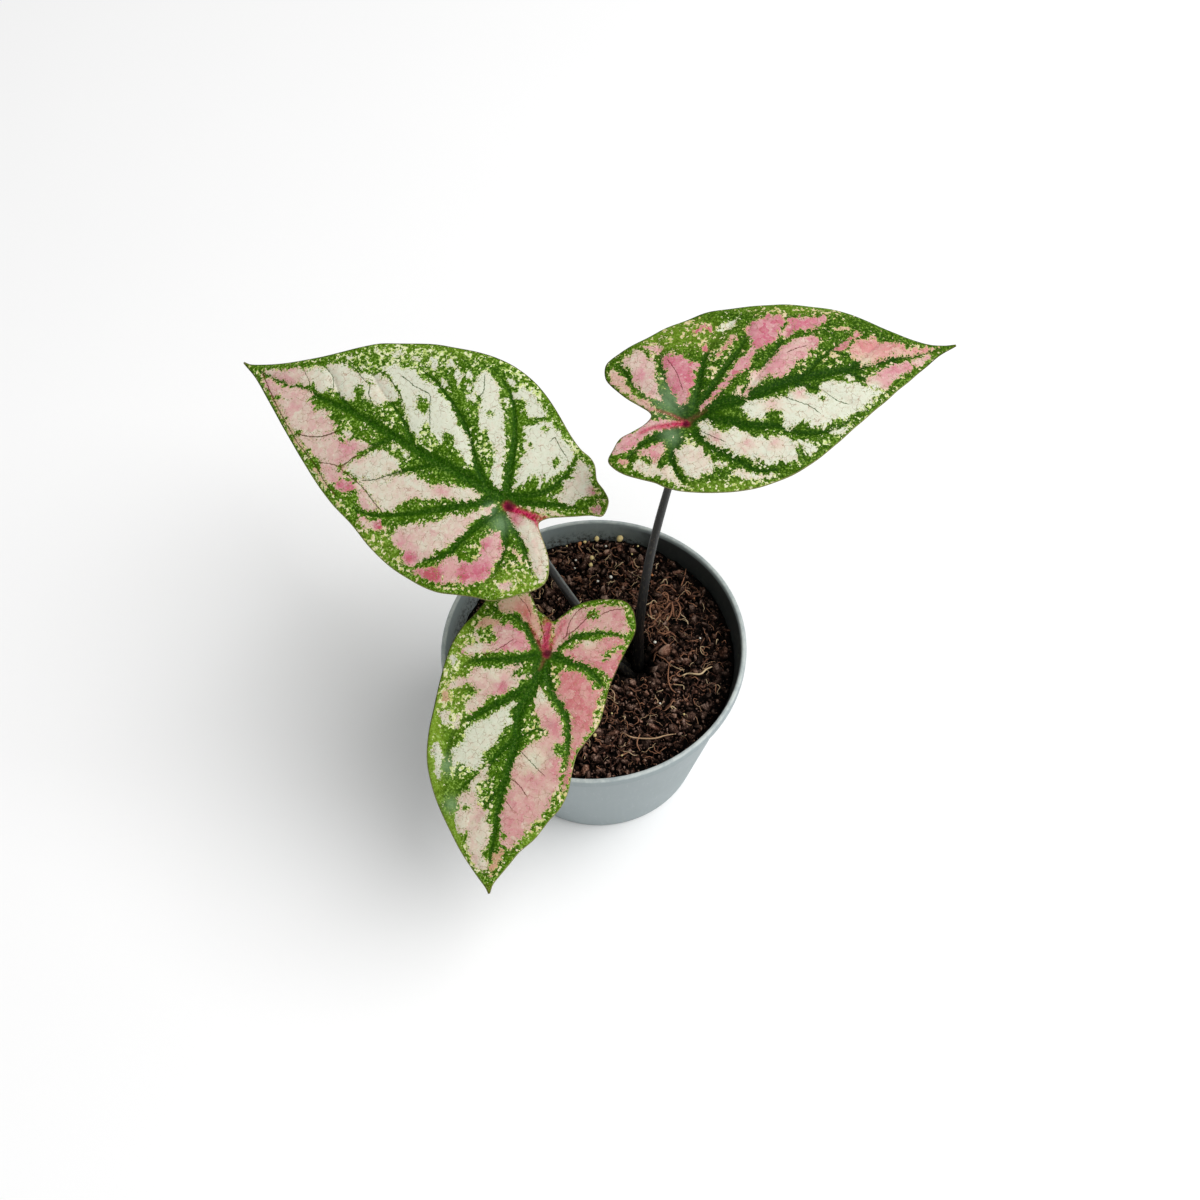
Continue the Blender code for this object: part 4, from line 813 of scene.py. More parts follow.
def make_blade(key, mats):
    spec, marks = BLADES[key], MARKS[key]
    blade = Blade(spec)
    scale = spec["reach"] / 1200.0
    rim = closed_curve(blade.to_uv(spec["margin"]), 0.5)
    seed = {"left": 3, "right": 5, "front": 7}[key]
    n = len(rim)
    sheets = []
    for step, s in ((FINE, seed), (COARSE, seed + 1)):
        inner, d = hex_points(rim, step, s)
        pts = np.vstack([rim, inner])
        verts, _, faces, *_ = geometry.delaunay_2d_cdt([Vector(p) for p in pts], [(i, (i + 1) % n) for i in range(n)], [], 1, 1e-7)
        if len(verts) != len(pts):
            raise RuntimeError("blade %s: the triangulation moved points" % key)
        faces = np.array([list(f) for f in faces])
        a, b, c = (pts[faces[:, i]] for i in range(3))
        turn = (b[:, 0] - a[:, 0]) * (c[:, 1] - a[:, 1]) - (b[:, 1] - a[:, 1]) * (c[:, 0] - a[:, 0])
        faces[turn < 0] = faces[turn < 0][:, ::-1]
        sheets.append((pts, np.r_[np.zeros(n), d], faces))
    # a corner triangle that both skins share would be a flap with nothing in it, so it is cut off
    corners = [set(tuple(sorted(f)) for f in faces if max(f) < n) for _, _, faces in sheets]
    shared = corners[0] & corners[1]
    sheets = [(pts, d, np.array([f for f in faces if tuple(sorted(f)) not in shared])) for pts, d, faces in sheets]
    verts, attrs = [], []
    for k, (pts, d, faces) in enumerate(sheets):
        u, v = pts.T
        base = blade.point(u, v)
        f = marks_at(to_sheet(base), marks, scale)
        t = u / blade.length
        body = np.minimum(d / 0.35, 1.0)
        thick = LEAF_T * np.sqrt(np.maximum(0.0, 1 - (1 - body) ** 2))
        ease = np.minimum(1.0, d / 3.0)
        # quilting: the skin swells between the ribs and sinks on them; a fainter swell between the side veinlets
        swell = 0.55 * (1 - np.exp(-(f["veind"] / 3.2) ** 2)) * ease
        swell += 0.10 * waves(np.c_[u, v], 7.0, seed + 11, 3) * ease
        groove = -0.42 * np.exp(-(f["veind"] / 0.55) ** 2) * ease - 0.22 * np.exp(-((d - 2.6) / 0.45) ** 2)
        ripple = 0.5 * waves(np.c_[u, v], 26.0, seed + 17, 2) * np.exp(-d / 6.0) * np.minimum(1.0, np.abs(v) / 12.0)
        skin = swell + groove + ripple - 0.35
        if k == 0:
            extra = skin - LEAF_T / 2 + thick / 2
        else:
            rib = np.exp(-(f["veind"] / 1.2) ** 2) * (0.8 * np.clip(1 - np.hypot(u, v) / (0.95 * blade.length), 0, 1) + 0.1) * np.clip((d - 0.6) / 4.0, 0, 1)
            extra = skin - groove - LEAF_T / 2 - thick / 2 - rib - 0.1 * ease
        verts.append(blade.point(u, v, extra))
        f["rim"] = d
        f["speck"] = f["speck"] * spec["fleck"]
        f["deep"] = np.full(len(d), spec["deep"])
        # dim: strength of the painted shade on this blade's pale patches
        f["dim"] = np.full(len(d), spec["dim"])
        f["tip"] = np.clip(1 - np.hypot(u - blade.length, v) / 5.0, 0, 1)
        f["near"] = np.clip(1 - np.hypot(u, v) / 14.0, 0, 1)
        # far: the margin that lies away from the sighting point
        middle = blade.point(np.array([0.35 * blade.length]), np.zeros(1))[0]
        f["far"] = 1.0 / (1.0 + np.exp(-(base[:, 1] - middle[1] - 4.0) / 5.0))
        attrs.append(f)
    top_n = len(verts[0])
    top_faces = sheets[0][2]
    low_faces = sheets[1][2][:, ::-1].copy()
    inner = low_faces >= n
    low_faces[inner] += top_n - n
    allv = np.vstack([verts[0], verts[1][n:]])
    allf = np.vstack([top_faces, low_faces])
    facing = np.r_[np.zeros(len(top_faces)), np.ones(len(low_faces))]
    merged = {k: np.r_[attrs[0][k], attrs[1][k][n:]] for k in attrs[0] if k != "veind"}
    used = np.zeros(len(allv), bool)
    used[allf] = True
    allf = (np.cumsum(used) - 1)[allf]
    allv, merged = allv[used], {k: a[used] for k, a in merged.items()}
    ob = mesh_object("leaf_" + key, allv, allf, mats, face_mat=facing, attrs=merged)
    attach(ob, "root")
    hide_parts("blade_" + key)
    return blade, ob


# ---------------------------------------------------------------- petioles
def petiole_skin():
    m = Tree("petiole_skin_dark")
    along, lit = m.attr("along"), m.attr("lit")
    streak = m.noise(1.0, 4.0, 0.65, m.stretch(m.p, (2.2, 2.2, 0.16)))
    low = m.mix(streak, srgb(5, 5, 5), srgb(15, 14, 14))
    high = m.mix(streak, srgb(20, 22, 22), srgb(54, 56, 54))
    colour = m.mix(m.step(along, 0.22, 0.85), low, high)
    # painted highlight: lighter grey streaks on the side of the stalk that faces the lamp
    painted_side_highlight = m.math("MULTIPLY", m.step(m.math("ADD", lit, m.math("MULTIPLY", streak, 0.5)), 0.75, 1.25), m.step(along, 0.12, 0.45))
    colour = m.mix(m.math("MULTIPLY", painted_side_highlight, 0.75), colour, m.mix(streak, srgb(92, 98, 96), srgb(136, 142, 138)))
    mottle = m.step(m.noise(1.6, 3.0, 0.6, m.stretch(m.p, (1.0, 1.0, 0.35))), 0.56, 0.66)
    colour = m.mix(m.math("MULTIPLY", mottle, 0.4), colour, srgb(92, 84, 66))
    colour = m.mix(m.step(along, 0.93, 1.0), colour, srgb(122, 44, 58))
    return m.done(colour, m.line(streak, 0.2, 0.8, 0.34, 0.5), m.bump(streak, 0.5, 0.15), 0.45)


def make_petiole(key, blade, mat):
    s = PETIOLES[key]
    down = -blade.normal(np.zeros(1), np.zeros(1))[0]
    end = blade.point(np.zeros(1), np.zeros(1))[0] + down * 0.9
    p0 = np.array(s["start"])
    p1 = p0 + np.array(s["lean"])
    p2 = end - blade.n * s["hang"]
    top = end - down * 0.15
    t = np.linspace(0, 1, 110)[:, None]
    path = p0 * (1 - t) ** 3 + p1 * 3 * t * (1 - t) ** 2 + p2 * 3 * t * t * (1 - t) + end * t ** 3
    path = np.vstack([path, top])
    t = np.r_[t[:, 0], 1.0]
    sides = 28
    ang = 2 * math.pi * np.arange(sides) / sides
    radii = []
    for k, q in enumerate(t):
        r = 2.0 + (1.15 - 2.0) * q ** 0.8
        r += 0.55 * max(0.0, 1 - q / 0.16) ** 1.5          # sheath at the foot
        r += 0.35 * max(0.0, (q - 0.965) / 0.035) ** 2     # flare into the ribs
        ridge = 1 + 0.035 * np.cos(5 * ang + 2.0 * q) + 0.02 * np.cos(11 * ang - 3.0 * q) + 0.012 * math.sin(37 * q)
        groove = 1 - 0.12 * np.exp(-((ang - 1.4 + 0.4 * q) / 0.33) ** 2) * min(1.0, 3 * q)
        radii.append(r * ridge * groove)
    verts, faces = tube_mesh(path, radii, sides)
    along = np.r_[np.repeat(t, sides), 0.0, 1.0]
    axis = np.repeat(path, sides, axis=0)
    # lit: how far the skin faces the lamp, which drives a painted highlight
    lit = np.r_[unit(verts[:-2] - axis) @ unit([1.0, 0.25, 0.25]), 0.0, 0.0]
    ob = mesh_object("stalk_" + key, verts, faces, [mat], attrs={"along": along, "lit": lit})
    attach(ob, "root")
    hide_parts("petiole_" + key)
    return path, t


# ---------------------------------------------------------------- potting mix
def inner_r(z):
    top, foot = WALL_TOP_R - WALL, WALL_FOOT_R - WALL - 0.1
    return foot + (top - foot) * (z - 4.2) / (POT_H - LIP_H - 0.8 - 4.2)


def soil_height(x, y):
    r = np.hypot(x, y)
    z = SOIL_Z + 0.9 * np.sin(x / 9.0 + 0.6) * np.cos(y / 11.0) + 0.6 * np.sin(y / 6.5 - x / 13.0 + 1.9)
    return z + 0.5 * np.cos(r / 18.0) - 0.8 * np.maximum(0.0, r - 46.0) / 10.0


def ground(x, y):
    """Top of the mix, with the hollow round the stalks."""
    z = soil_height(x, y) + 0.8 * waves(np.c_[x, y], 9.0, 41, 4)
    z = z + 2.4 * np.clip((y - 18.0) / 34.0, 0, 1) ** 1.3
    d = np.hypot(x - CROWN[0], y - CROWN[1]) + 0.7 * waves(np.c_[x, y], 8.0, 43, 2)
    return z - 9.5 * (1 - np.clip((d - 3.5) / 6.5, 0, 1)) ** 1.3


def soil_material(name):
    m = Tree(name)
    tone, painted_top_light = m.attr("tone"), m.attr("painted_top_light")
    sep = m.t.nodes.new("ShaderNodeSeparateXYZ")
    m.put(sep.inputs[0], m.p)
    f = m.math("ADD", m.math("MULTIPLY", m.noise(0.9, 5.0, 0.7), 0.5), m.math("MULTIPLY", m.noise(3.0, 3.0, 0.7), 0.5))
    # painted light: lumps and crumbs are lighter on top and darker beneath
    f = m.math("ADD", f, m.math("MULTIPLY", m.math("SUBTRACT", painted_top_light, 0.47), 0.52))
    dark = m.ramp(f, [(0.41, srgb(3, 1, 0)), (0.555, srgb(25, 13, 8)), (0.675, srgb(86, 62, 52)), (0.82, srgb(182, 152, 136))])
    warm = m.ramp(f, [(0.42, srgb(8, 2, 0)), (0.56, srgb(58, 30, 19)), (0.69, srgb(142, 102, 84)), (0.82, srgb(200, 168, 148))])
    colour = m.mix(m.step(tone, 0.66, 0.9), dark, warm)
    colour = m.mix(m.step(tone, 0.3, 0.0, 0.0, 0.7), colour, srgb(6, 4, 3))
    # painted shade: dark by the +x side of the wall and in the hollow where the stalks rise
    side = m.step(m.math("ADD", sep.outputs[0], m.math("MULTIPLY", m.noise(0.15, 3.0), 12.0)), 38.0, 52.0, 0.0, 0.55)
    dx, dy = m.math("SUBTRACT", sep.outputs[0], CROWN[0]), m.math("SUBTRACT", sep.outputs[1], CROWN[1])
    hollow = m.step(m.math("SQRT", m.math("ADD", m.math("MULTIPLY", dx, dx), m.math("MULTIPLY", dy, dy))), 14.0, 7.5, 0.0, 0.9)
    colour = m.mix(m.math("MAXIMUM", side, hollow), colour, srgb(5, 3, 2))
    h = m.math("ADD", m.noise(1.6, 5.0, 0.75), m.math("MULTIPLY", m.voronoi(2.4), 0.5))
    return m.done(colour, m.line(m.noise(1.3), 0.35, 0.65, 0.78, 0.97), m.bump(h, 1.0, 0.5), 0.08)


def disc_points(edge, step, seed):
    n = int(2 * math.pi * edge / step)
    a = 2 * math.pi * np.arange(n) / n
    rim = np.c_[edge * np.cos(a), edge * np.sin(a)]
    rows = int(2 * edge / (step * math.sqrt(3) / 2)) + 1
    cols = int(2 * edge / step) + 2
    x, y = np.meshgrid(np.arange(cols) * step - edge, np.arange(rows) * step * math.sqrt(3) / 2 - edge)
    x = x + (np.arange(rows) % 2)[:, None] * step / 2
    p = np.c_[x.ravel(), y.ravel()] + np.random.default_rng(seed).uniform(-0.2, 0.2, (x.size, 2)) * step
    return rim, p[np.hypot(*p.T) < edge - 0.5 * step]


def make_soil_body(mat):
    edge = inner_r(70.6) - 0.3
    rim, inner = disc_points(edge, 0.8, 31)
    n = len(rim)
    pts = np.vstack([rim, inner])
    verts, _, faces, *_ = geometry.delaunay_2d_cdt([Vector(p) for p in pts], [(i, (i + 1) % n) for i in range(n)], [], 1, 1e-7)
    pts = np.array([tuple(p) for p in verts])
    faces = np.array([list(f) for f in faces])
    a, b, c = (pts[faces[:, i]] for i in range(3))
    turn = (b[:, 0] - a[:, 0]) * (c[:, 1] - a[:, 1]) - (b[:, 1] - a[:, 1]) * (c[:, 0] - a[:, 0])
    faces[turn < 0] = faces[turn < 0][:, ::-1]
    x, y = pts.T
    lumps = 1.5 * waves(pts, 4.2, 45, 3) * np.clip((edge - np.hypot(x, y)) / 2.0, 0.15, 1)
    top = np.c_[x, y, np.maximum(ground(x, y) + lumps, 62.9)]
    under = np.hypot(x - CROWN[0], y - CROWN[1]) < TUBER_R - 1.2
    top[under, 2] = np.minimum(top[under, 2], TUBER_TOP + 0.5)
    ang = np.arctan2(rim[:, 1], rim[:, 0])
    rings = []
    for z, r in [(64.0, inner_r(64.0) - 0.35), (50.0, inner_r(50.0) - 0.35), (30.0, inner_r(30.0) - 0.35), (12.0, inner_r(12.0) - 0.35), (5.0, inner_r(5.0) - 0.4), (FLOOR_TOP + 0.35, inner_r(4.2) - 3.2)]:
        rings.append(np.c_[r * np.cos(ang), r * np.sin(ang), np.full(n, z)])
    base = len(top)
    allv = np.vstack([top] + rings + [[[0, 0, FLOOR_TOP + 0.35]]])
    strips = []
    k = np.arange(n)
    j = (k + 1) % n
    prev = np.arange(n)
    for q in range(len(rings)):
        cur = base + q * n + k
        strips.append(np.c_[prev[k], cur[k], cur[j]])
        strips.append(np.c_[prev[k], cur[j], prev[j]])
        prev = cur
    centre = len(allv) - 1
    strips.append(np.c_[prev[k], np.full(n, centre), prev[j]])
    allf = np.vstack([faces] + strips)
    # painted light: the lump tops of the bed get a lighter value, the sides a darker one
    painted_top_light = np.r_[np.clip(0.30 + 0.35 * lumps, 0, 1), np.full(len(allv) - base, 0.2)]
    ob = mesh_object("soil_bed", allv, allf, [mat], attrs={"tone": np.full(len(allv), 0.22), "painted_top_light": painted_top_light})
    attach(ob, "root")
    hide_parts("potting_mix")
    return ob


KNOT = [0.0, 0.0]


def sphere_template(level):
    import bmesh
    bm = bmesh.new()
    bmesh.ops.create_icosphere(bm, subdivisions=level, radius=1.0)
    v = np.array([tuple(x.co) for x in bm.verts])
    f = np.array([[x.index for x in face.verts] for face in bm.faces])
    bm.free()
    return v, f


def random_turn(r):
    q = unit(r.normal(size=4))
    w, x, y, z = q
    return np.array([[1 - 2 * (y * y + z * z), 2 * (x * y - z * w), 2 * (x * z + y * w)], [2 * (x * y + z * w), 1 - 2 * (x * x + z * z), 2 * (y * z - x * w)], [2 * (x * z - y * w), 2 * (y * z + x * w), 1 - 2 * (x * x + y * y)]])


def lump(template, size, shape, r, rough=0.28):
    v, f = template
    w = v * (1 + rough * waves(v + r.uniform(-50, 50, 3), 1.7, int(r.integers(1, 1000)), 2))[:, None]
    return (w * (np.asarray(shape) * size)) @ random_turn(r).T, f


def ground_at(px):
    """Where the lines of sight through sheet points meet the top of the mix."""
    d = sight_lines(px)
    z = np.full(len(d), SOIL_Z)
    for _ in range(12):
        p = SIGHT + d * ((z - SIGHT[2]) / d[:, 2])[:, None]
        z = 0.5 * z + 0.5 * (ground(p[:, 0], p[:, 1]) + 0.5)
    return p


def ground_knot(x, y):
    """1 in the red-brown knot of roots beside the stalks, 0 away from it."""
    return math.exp(-(((x - KNOT[0]) / 4.6) ** 2 + ((y - KNOT[1]) / 8.0) ** 2))


def clear_of_stalks(x, y, z, gap):
    for path, t in STALKS:
        q = path[np.argmin(np.abs(path[:, 2] - z))]
        if math.hypot(x - q[0], y - q[1]) < gap + 2.0:
            return False
    return True


def make_crumbs(mat):
    KNOT[:] = ground_at([(668, 614)])[0][:2]
    r = np.random.default_rng(52)
    small, big = sphere_template(1), sphere_template(2)
    limit = inner_r(71.0) - 0.9
    for name, lots in (
        ("soil_crumbs", ((520, 1.1, 2.5, big), (1500, 0.6, 1.2, big))),
        ("soil_crumbs_fine", ((4600, 0.30, 0.75, small),)),
    ):
        parts, tones, painted_top_lights = [], [], []
        for count, lo, hi, tmpl in lots:
            for _ in range(count):
                a, q = r.uniform(0, 2 * math.pi), math.sqrt(r.uniform(0, 1)) * limit
                size = lo + (hi - lo) * r.uniform(0, 1) ** 1.9
                x, y = q * math.cos(a), q * math.sin(a)
                if math.hypot(x, y) + size > limit + 0.3:
                    continue
                z = float(ground(np.array([x]), np.array([y]))[0]) + size * r.uniform(-0.05, 0.75)
                if z < 64.5 or not clear_of_stalks(x, y, z, size):
                    continue
                long = r.uniform(1.4, 2.3) if r.uniform() < 0.3 else r.uniform(0.85, 1.3)
                shape = (long, r.uniform(0.6, 1.05), r.uniform(0.45, 0.9))
                v, f = lump(tmpl, size * min(1.0, 1.5 / long), shape, r, 0.5)
                parts.append((v + [x, y, z], f))
                knot = ground_knot(x, y)
                tones.append(max(r.uniform(0, 1), knot * r.uniform(0.35, 0.92)))
                # painted light: each crumb is lighter on top and darker underneath
                painted_top_lights.append(np.clip(0.45 + 0.42 * v[:, 2] / size, 0, 1))
        v, f, tag = join_parts(parts)
        v[:, 2] = np.minimum(v[:, 2], 79.5)
        ob = mesh_object(name, v, f, [mat], smooth=False, attrs={"tone": np.array(tones)[tag], "painted_top_light": np.concatenate(painted_top_lights)})
        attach(ob, "root")
        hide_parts("potting_mix")


def fibre_material():
    m = Tree("root_fibre")
    tone = m.attr("tone")
    n = m.noise(1.5, 4.0, 0.6)
    a = m.mix(n, srgb(30, 13, 8), srgb(92, 56, 42))
    b = m.mix(n, srgb(104, 58, 38), srgb(182, 134, 104))
    c = m.mix(n, srgb(182, 148, 108), srgb(226, 206, 168))
    colour = m.mix(m.step(tone, 0.15, 0.4), a, b)
    colour = m.mix(m.step(tone, 0.68, 0.92), colour, c)
    return m.done(colour, 0.75, m.bump(m.noise(5.0, 3.0), 0.6, 0.1), 0.25)


def make_fibres(mat):
    r = np.random.default_rng(63)
    drawn = [
        (.28, .45, [(665,598),(672,606),(674,618)]), (.22, .45, [(686,570),(684,580),(680,590)]), (.2, .45, [(681,608),(679,618)]),
        (.25, .55, [(669,665),(668,680),(671,690),(676,694)]), (.36, 1.0, [(682,677),(688,675),(700,676),(706,671),(712,668)]),
        (.3, .8, [(622,733),(630,738),(640,740),(655,740),(665,737),(676,735)]), (.24, .7, [(640,735),(637,745),(640,752)]), (.26, .75, [(622,757),(632,752)]),
        (.3, .6, [(582,553),(579,549),(579,546)]),
        (.31, .5, [(652,625),(659,618),(667,609),(672,603),(672,612),(669,620),(662,627)]), (.28, .5, [(655,655),(661,659),(666,662),(671,668)]),
        (.28, .45, [(656,592),(662,587),(669,588),(676,593)]), (.34, .36, [(652,602),(650,611),(652,621)]), (.26, .5, [(660,600),(664,594),(668,597),(667,604),(661,606)]),
        (.24, .5, [(674,600),(679,606),(680,614),(676,622)]), (.28, .4, [(657,632),(664,636),(670,634),(676,638)]), (.3, .7, [(661,640),(666,646),(672,648)]),
    ]
    parts, tones = [], []
    for rad, tone, px in drawn:
        path = ground_at(open_curve(px, 14))
        path[:, 2] += 1.0 + 0.5 * np.sin(np.linspace(0, math.pi, 14))
        parts.append(tube_mesh(path, rad * (1 - 0.45 * np.abs(np.linspace(-1, 1, 14)) ** 3), 7))
        tones.append(tone)
    limit = inner_r(71.0) - 2.0
    for k in range(1150):
        clump = k < 84
        if clump:
            c = ground_at([(r.normal(666, 6.5), r.normal(611, 13))])[0]
            x, y = c[0], c[1]
        else:
            a, q = r.uniform(0, 2 * math.pi), math.sqrt(r.uniform(0, 1)) * limit
            x, y = q * math.cos(a), q * math.sin(a)
        if math.hypot(x, y) > limit - 2 or math.hypot(x - CROWN[0], y - CROWN[1]) < 8.5:
            continue
        heading, bend = r.uniform(0, 2 * math.pi), r.uniform(-0.28, 0.28)
        steps = 9
        length = r.uniform(2.0, 7.5)
        pts = [np.array([x, y, 0.0])]
        for _ in range(steps):
            heading += r.normal(0, 0.5) + bend
            pts.append(pts[-1] + np.array([math.cos(heading), math.sin(heading), 0]) * length / steps)
        pts = np.array(pts)
        if np.hypot(pts[:, 0], pts[:, 1]).max() > limit or np.hypot(pts[:, 0] - CROWN[0], pts[:, 1] - CROWN[1]).min() < 8.0:
            continue
        lift = r.uniform(0.3, 1.9)
        pts[:, 2] = ground(pts[:, 0], pts[:, 1]) + 0.6 + lift * np.sin(np.linspace(0, math.pi, steps + 1)) ** 1.0
        rad = r.uniform(0.11, 0.32) if clump else 0.08 + 0.22 * r.uniform(0, 1) ** 2
        parts.append(tube_mesh(pts, rad * (1 - 0.5 * np.linspace(0, 1, steps + 1)), 5))
        tones.append(r.uniform(0.0, 0.5) if clump else r.uniform(0.0, 1.0) ** 1.4)
    v, f, tag = join_parts(parts)
    ob = mesh_object("root_fibres", v, f, [mat], attrs={"tone": np.array(tones)[tag]})
    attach(ob, "root")
    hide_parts("potting_mix")
    return ob


def bead_material():
    m = Tree("mix_grains")
    tone = m.attr("tone")
    n = m.noise(1.6, 4.0, 0.6)
    a = m.mix(n, srgb(206, 180, 112), srgb(228, 212, 160))
    b = m.mix(n, srgb(214, 210, 198), srgb(240, 238, 228))
    c = m.mix(n, srgb(170, 104, 62), srgb(204, 140, 92))
    colour = m.mix(m.step(tone, 0.4, 0.5), a, b)
    colour = m.mix(m.step(tone, 0.8, 0.85), colour, c)
    return m.done(colour, 0.7, m.bump(m.noise(3.0, 3.0), 0.7, 0.2), 0.3)


def make_beads(mat):
    r = np.random.default_rng(71)
    tmpl = sphere_template(3)
    drawn = [(620,541,1.4,.1),(597,541,1.1,.1),(592,560,1.0,.15),(591,567,.95,.1),(585,544,.7,.1),(606,548,.5,.6),(576,562,.45,.6),(575,570,.4,.6),(598,583,.5,.6),(638,548,.45,.1),(611,579,.75,.6),(655,644,.6,.6),(580,546,.9,.9),(652,577,.6,.95),(595,737,.8,.2),(641,596,.5,.6),(700,640,.45,.6),(612,715,.4,.2),(660,705,.4,.6),(684,716,.45,.1),(567,548,.45,.1),(632,556,.4,.2),(694,600,.4,.9),(622,757,.45,.2),(604,606,.5,.1)]
    parts, tones = [], []
    for x, y, size, tone in drawn:
        p = ground_at([(x, y)])[0]
        v, f = lump(tmpl, size, (1.05, 0.95, 0.85), r, 0.08)
        parts.append((v + p + [0, 0, 1.2 + 0.4 * size], f))
        tones.append(tone)
    v, f, tag = join_parts(parts)
    ob = mesh_object("mix_grains", v, f, [mat], attrs={"tone": np.array(tones)[tag]})
    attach(ob, "root")
    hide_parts("potting_mix")
    return ob


# ---------------------------------------------------------------- tuber
def tuber_skin():
    m = Tree("tuber_bark")
    rings = m.noise(1.2, 4.0, 0.7, m.stretch(m.p, (0.25, 0.25, 2.0)))
    f = m.math("ADD", m.math("MULTIPLY", rings, 0.6), m.math("MULTIPLY", m.noise(1.4, 4.0), 0.4))
    colour = m.ramp(f, [(0.3, srgb(40, 26, 18)), (0.5, srgb(82, 56, 38)), (0.72, srgb(132, 98, 70))])
    return m.done(colour, 0.85, m.bump(f, 0.9, 0.5), 0.2)


def make_tuber(mat):
    v, f = sphere_template(5)
    mid, half = (TUBER_BOTTOM + TUBER_TOP) / 2, (TUBER_TOP - TUBER_BOTTOM) / 2
    ang = np.arctan2(v[:, 1], v[:, 0])
    body = np.sign(v) * np.abs(v) ** np.array([1.0, 1.0, 0.8])
    r = 1 - 0.05 * (0.5 + 0.5 * np.cos(7 * ang)) - 0.05 * (0.5 - 0.5 * waves(v, 0.9, 81, 3))
    ringing = 0.985 + 0.012 * np.sin(v[:, 2] * 26)
    w = np.c_[body[:, :2] * (TUBER_R * r * ringing)[:, None], body[:, 2] * half]
    w[:, 2] = np.clip(w[:, 2], -half, half - 0.1)
    w += [CROWN[0], CROWN[1], mid]
    ob = mesh_object("corm", w, f, [mat])
    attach(ob, "root")
    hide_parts("tuber")
    return ob


# ---------------------------------------------------------------- pot
def pot_material():
    m = Tree("pot_grey_plastic")
    cloud = m.noise(0.05, 4.0, 0.6)
    grain = m.noise(1.8, 3.0, 0.6)
    colour = m.mix(cloud, srgb(138, 151, 154), srgb(154, 165, 167))
    colour = m.mix(m.step(grain, 0.5, 0.75, 0.0, 0.22), colour, srgb(138, 148, 150))
    # flow streaks down the wall and a few scuffs
    streak = m.noise(0.5, 4.0, 0.7, m.stretch(m.p, (1.2, 1.2, 0.06)))
    colour = m.mix(m.step(streak, 0.54, 0.72, 0.0, 0.25), colour, srgb(184, 192, 192))
    scuff = m.step(m.noise(0.8, 5.0, 0.8, m.stretch(m.p, (0.5, 0.5, 2.4))), 0.62, 0.72, 0.0, 0.3)
    colour = m.mix(scuff, colour, srgb(196, 200, 198))
    # specks of mix and dust on the inside, near the soil, with painted shade that darkens the inside wall
    sep = m.t.nodes.new("ShaderNodeSeparateXYZ")
    m.put(sep.inputs[0], m.p)
    r = m.math("SQRT", m.math("ADD", m.math("POWER", sep.outputs[0], 2.0), m.math("POWER", sep.outputs[1], 2.0)))
    # how far a point lies outside the inner wall
    skin = m.math("SUBTRACT", r, m.math("ADD", m.math("MULTIPLY", sep.outputs[2], 0.2043), 41.5))
    inside = m.step(skin, 0.6, 0.2)
    # painted shade: the inside wall is darker from just under the rim down
    colour = m.mix(m.math("MULTIPLY", inside, m.step(sep.outputs[2], 81.6, 76.0, 0.0, 0.35)), colour, srgb(112, 120, 114))
    inner = m.math("MULTIPLY", inside, m.step(sep.outputs[2], 79.0, 73.0))
    dirt_and_painted_shade = m.math("MULTIPLY", inner, m.step(m.noise(0.7, 5.0, 0.75), 0.42, 0.62))
    # painted shade: the inside wall on the +x side, away from the lamp, turns near-black
    painted_inner_shade = m.math("MULTIPLY", inside, m.step(sep.outputs[2], 81.0, 79.4))
    painted_inner_shade = m.math("MULTIPLY", painted_inner_shade, m.step(m.math("ADD", sep.outputs[0], m.math("MULTIPLY", m.noise(0.12, 3.0), 14.0)), 14.0, 44.0))
    dirt_and_painted_shade = m.math("MAXIMUM", dirt_and_painted_shade, m.math("MULTIPLY", painted_inner_shade, 1.15), clamp=True)
    # the dust specks and the painted shade share one colour, which goes near-black towards +x as painted shade
    colour = m.mix(m.math("MULTIPLY", dirt_and_painted_shade, 0.9), colour, m.mix(m.step(sep.outputs[0], 0.0, 35.0), srgb(50, 40, 34), srgb(10, 8, 7)))
    # the lip: a painted highlight on its crown, painted shade in the crease beneath it
    outside = m.math("SUBTRACT", 1.0, inside)
    painted_crease_shade = m.math("MULTIPLY", m.step(m.math("ABSOLUTE", m.math("SUBTRACT", sep.outputs[2], POT_H - LIP_H - 0.2)), 0.75, 0.15), outside)
    colour = m.mix(m.math("MULTIPLY", painted_crease_shade, m.step(m.noise(0.3, 3.0), 0.3, 0.6, 0.35, 0.8)), colour, srgb(84, 92, 92))
    painted_crown_highlight = m.step(sep.outputs[2], POT_H - 0.9, POT_H - 0.2)
    colour = m.mix(m.math("MULTIPLY", painted_crown_highlight, m.step(m.noise(0.25, 4.0, 0.7), 0.3, 0.65, 0.15, 0.65)), colour, srgb(206, 212, 208))
    h = m.math("ADD", m.math("MULTIPLY", grain, 0.6), m.math("MULTIPLY", scuff, -0.8))
    return m.done(colour, m.line(cloud, 0.3, 0.7, 0.42, 0.55), m.bump(h, 0.35, 0.12), 0.4)


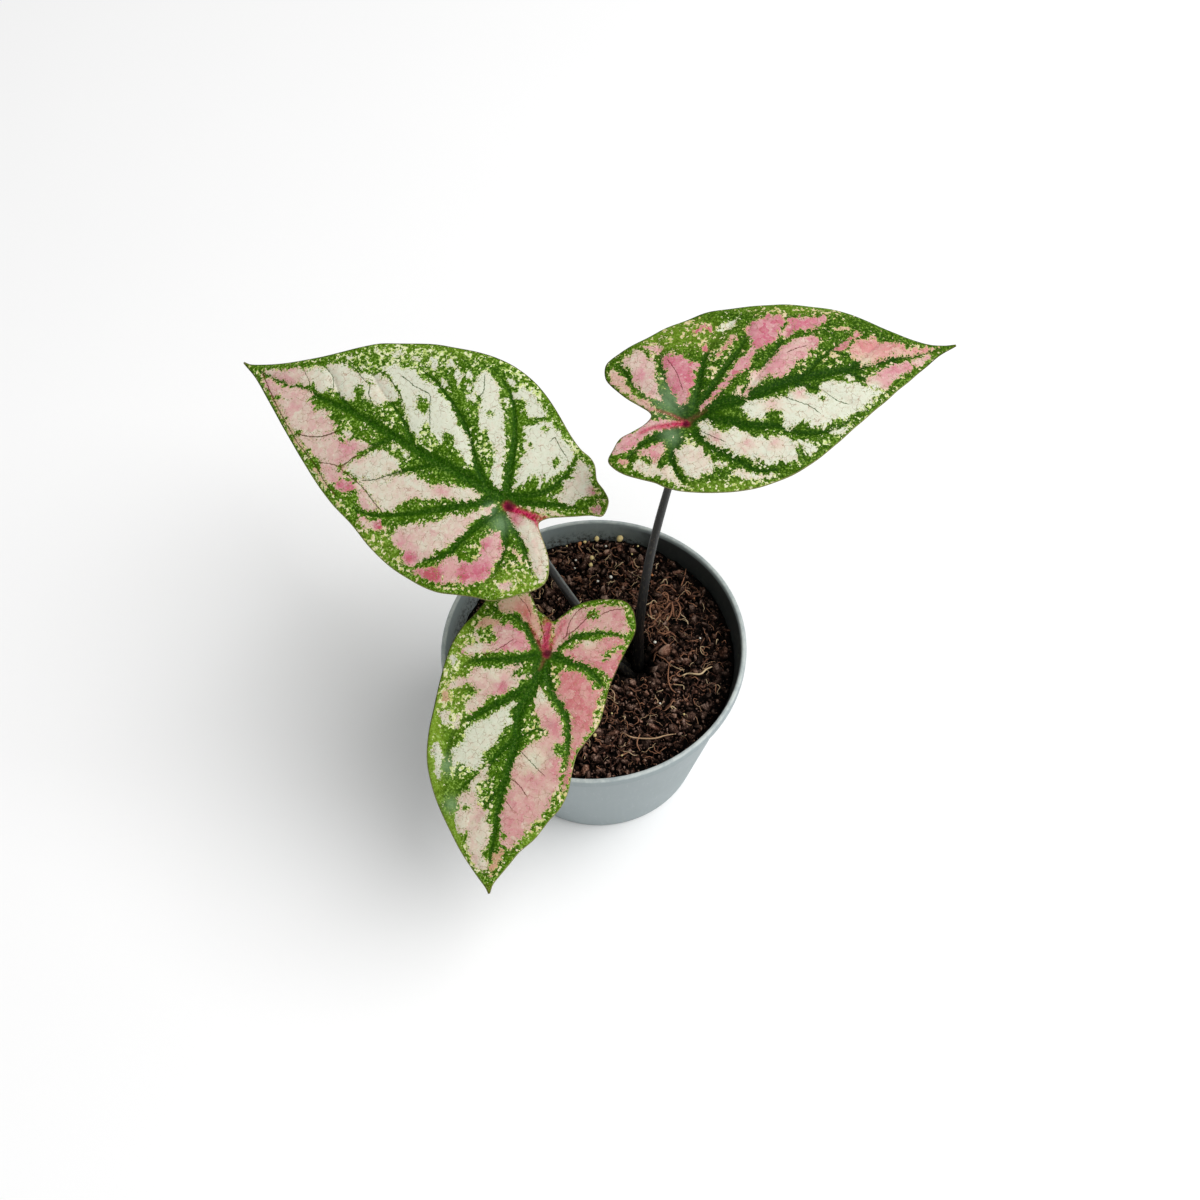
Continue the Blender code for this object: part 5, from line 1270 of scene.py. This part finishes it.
# ---------------------------------------------------------------- build
upper, lower = leaf_top(), leaf_under()
stalk_mat = petiole_skin()
STALKS = []
for key in BLADES:
    blade, _ = make_blade(key, [upper, lower])
    STALKS.append(make_petiole(key, blade, stalk_mat))

mix_dark = soil_material("peat_mix")
make_soil_body(mix_dark)
make_crumbs(mix_dark)
make_fibres(fibre_material())
make_beads(bead_material())
make_tuber(tuber_skin())

plastic = pot_material()
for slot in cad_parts["pot"].material_slots:
    slot.material = plastic

# ---------------------------------------------------------------- floor, light and camera
def stage_material():
    m = Tree("pale_floor")
    colour = m.mix(m.noise(0.004, 2.0), (0.96, 0.96, 0.96, 1), (0.98, 0.98, 0.98, 1))
    return m.done(colour, 0.9, None, 0.0)


g = 4000.0
floor = mesh_object("floor", [(-g, -g, 0), (g, -g, 0), (g, g, 0), (-g, g, 0)], [(0, 1, 2, 3)], [stage_material()], smooth=False)

world = bpy.data.worlds.new("studio")
world.use_nodes = True
world.node_tree.nodes["Background"].inputs[0].default_value = (1.0, 1.0, 1.0, 1.0)
world.node_tree.nodes["Background"].inputs[1].default_value = 0.44
bpy.context.scene.world = world


def area_light(name, place, aim, size, power, colour=(1, 1, 1)):
    data = bpy.data.lights.new(name, "AREA")
    data.shape, data.size, data.energy, data.color = "DISK", size, power, colour
    ob = bpy.data.objects.new(name, data)
    place, aim = Vector(place), Vector(aim)
    ob.location = place
    ob.rotation_euler = (aim - place).to_track_quat("-Z", "Y").to_euler()
    bpy.context.scene.collection.objects.link(ob)
    return ob


area_light("key", (1.60, -0.36, 2.42), (0.0, 0.0, 0.05), 2.5, 78.0)

cam_data = bpy.data.cameras.new("camera")
cam_data.lens, cam_data.sensor_width, cam_data.clip_end = 36.0, 36.0, 50.0
cam = bpy.data.objects.new("camera", cam_data)
bpy.context.scene.collection.objects.link(cam)
m = Matrix.Identity(4)
for row in range(3):
    m[row][0], m[row][1], m[row][2], m[row][3] = RIGHT[row], UP[row], -AHEAD[row], SIGHT[row] * MM
cam.matrix_world = m
bpy.context.scene.camera = cam
bpy.context.scene.view_settings.view_transform = "Standard"
bpy.context.scene.view_settings.look = "None"
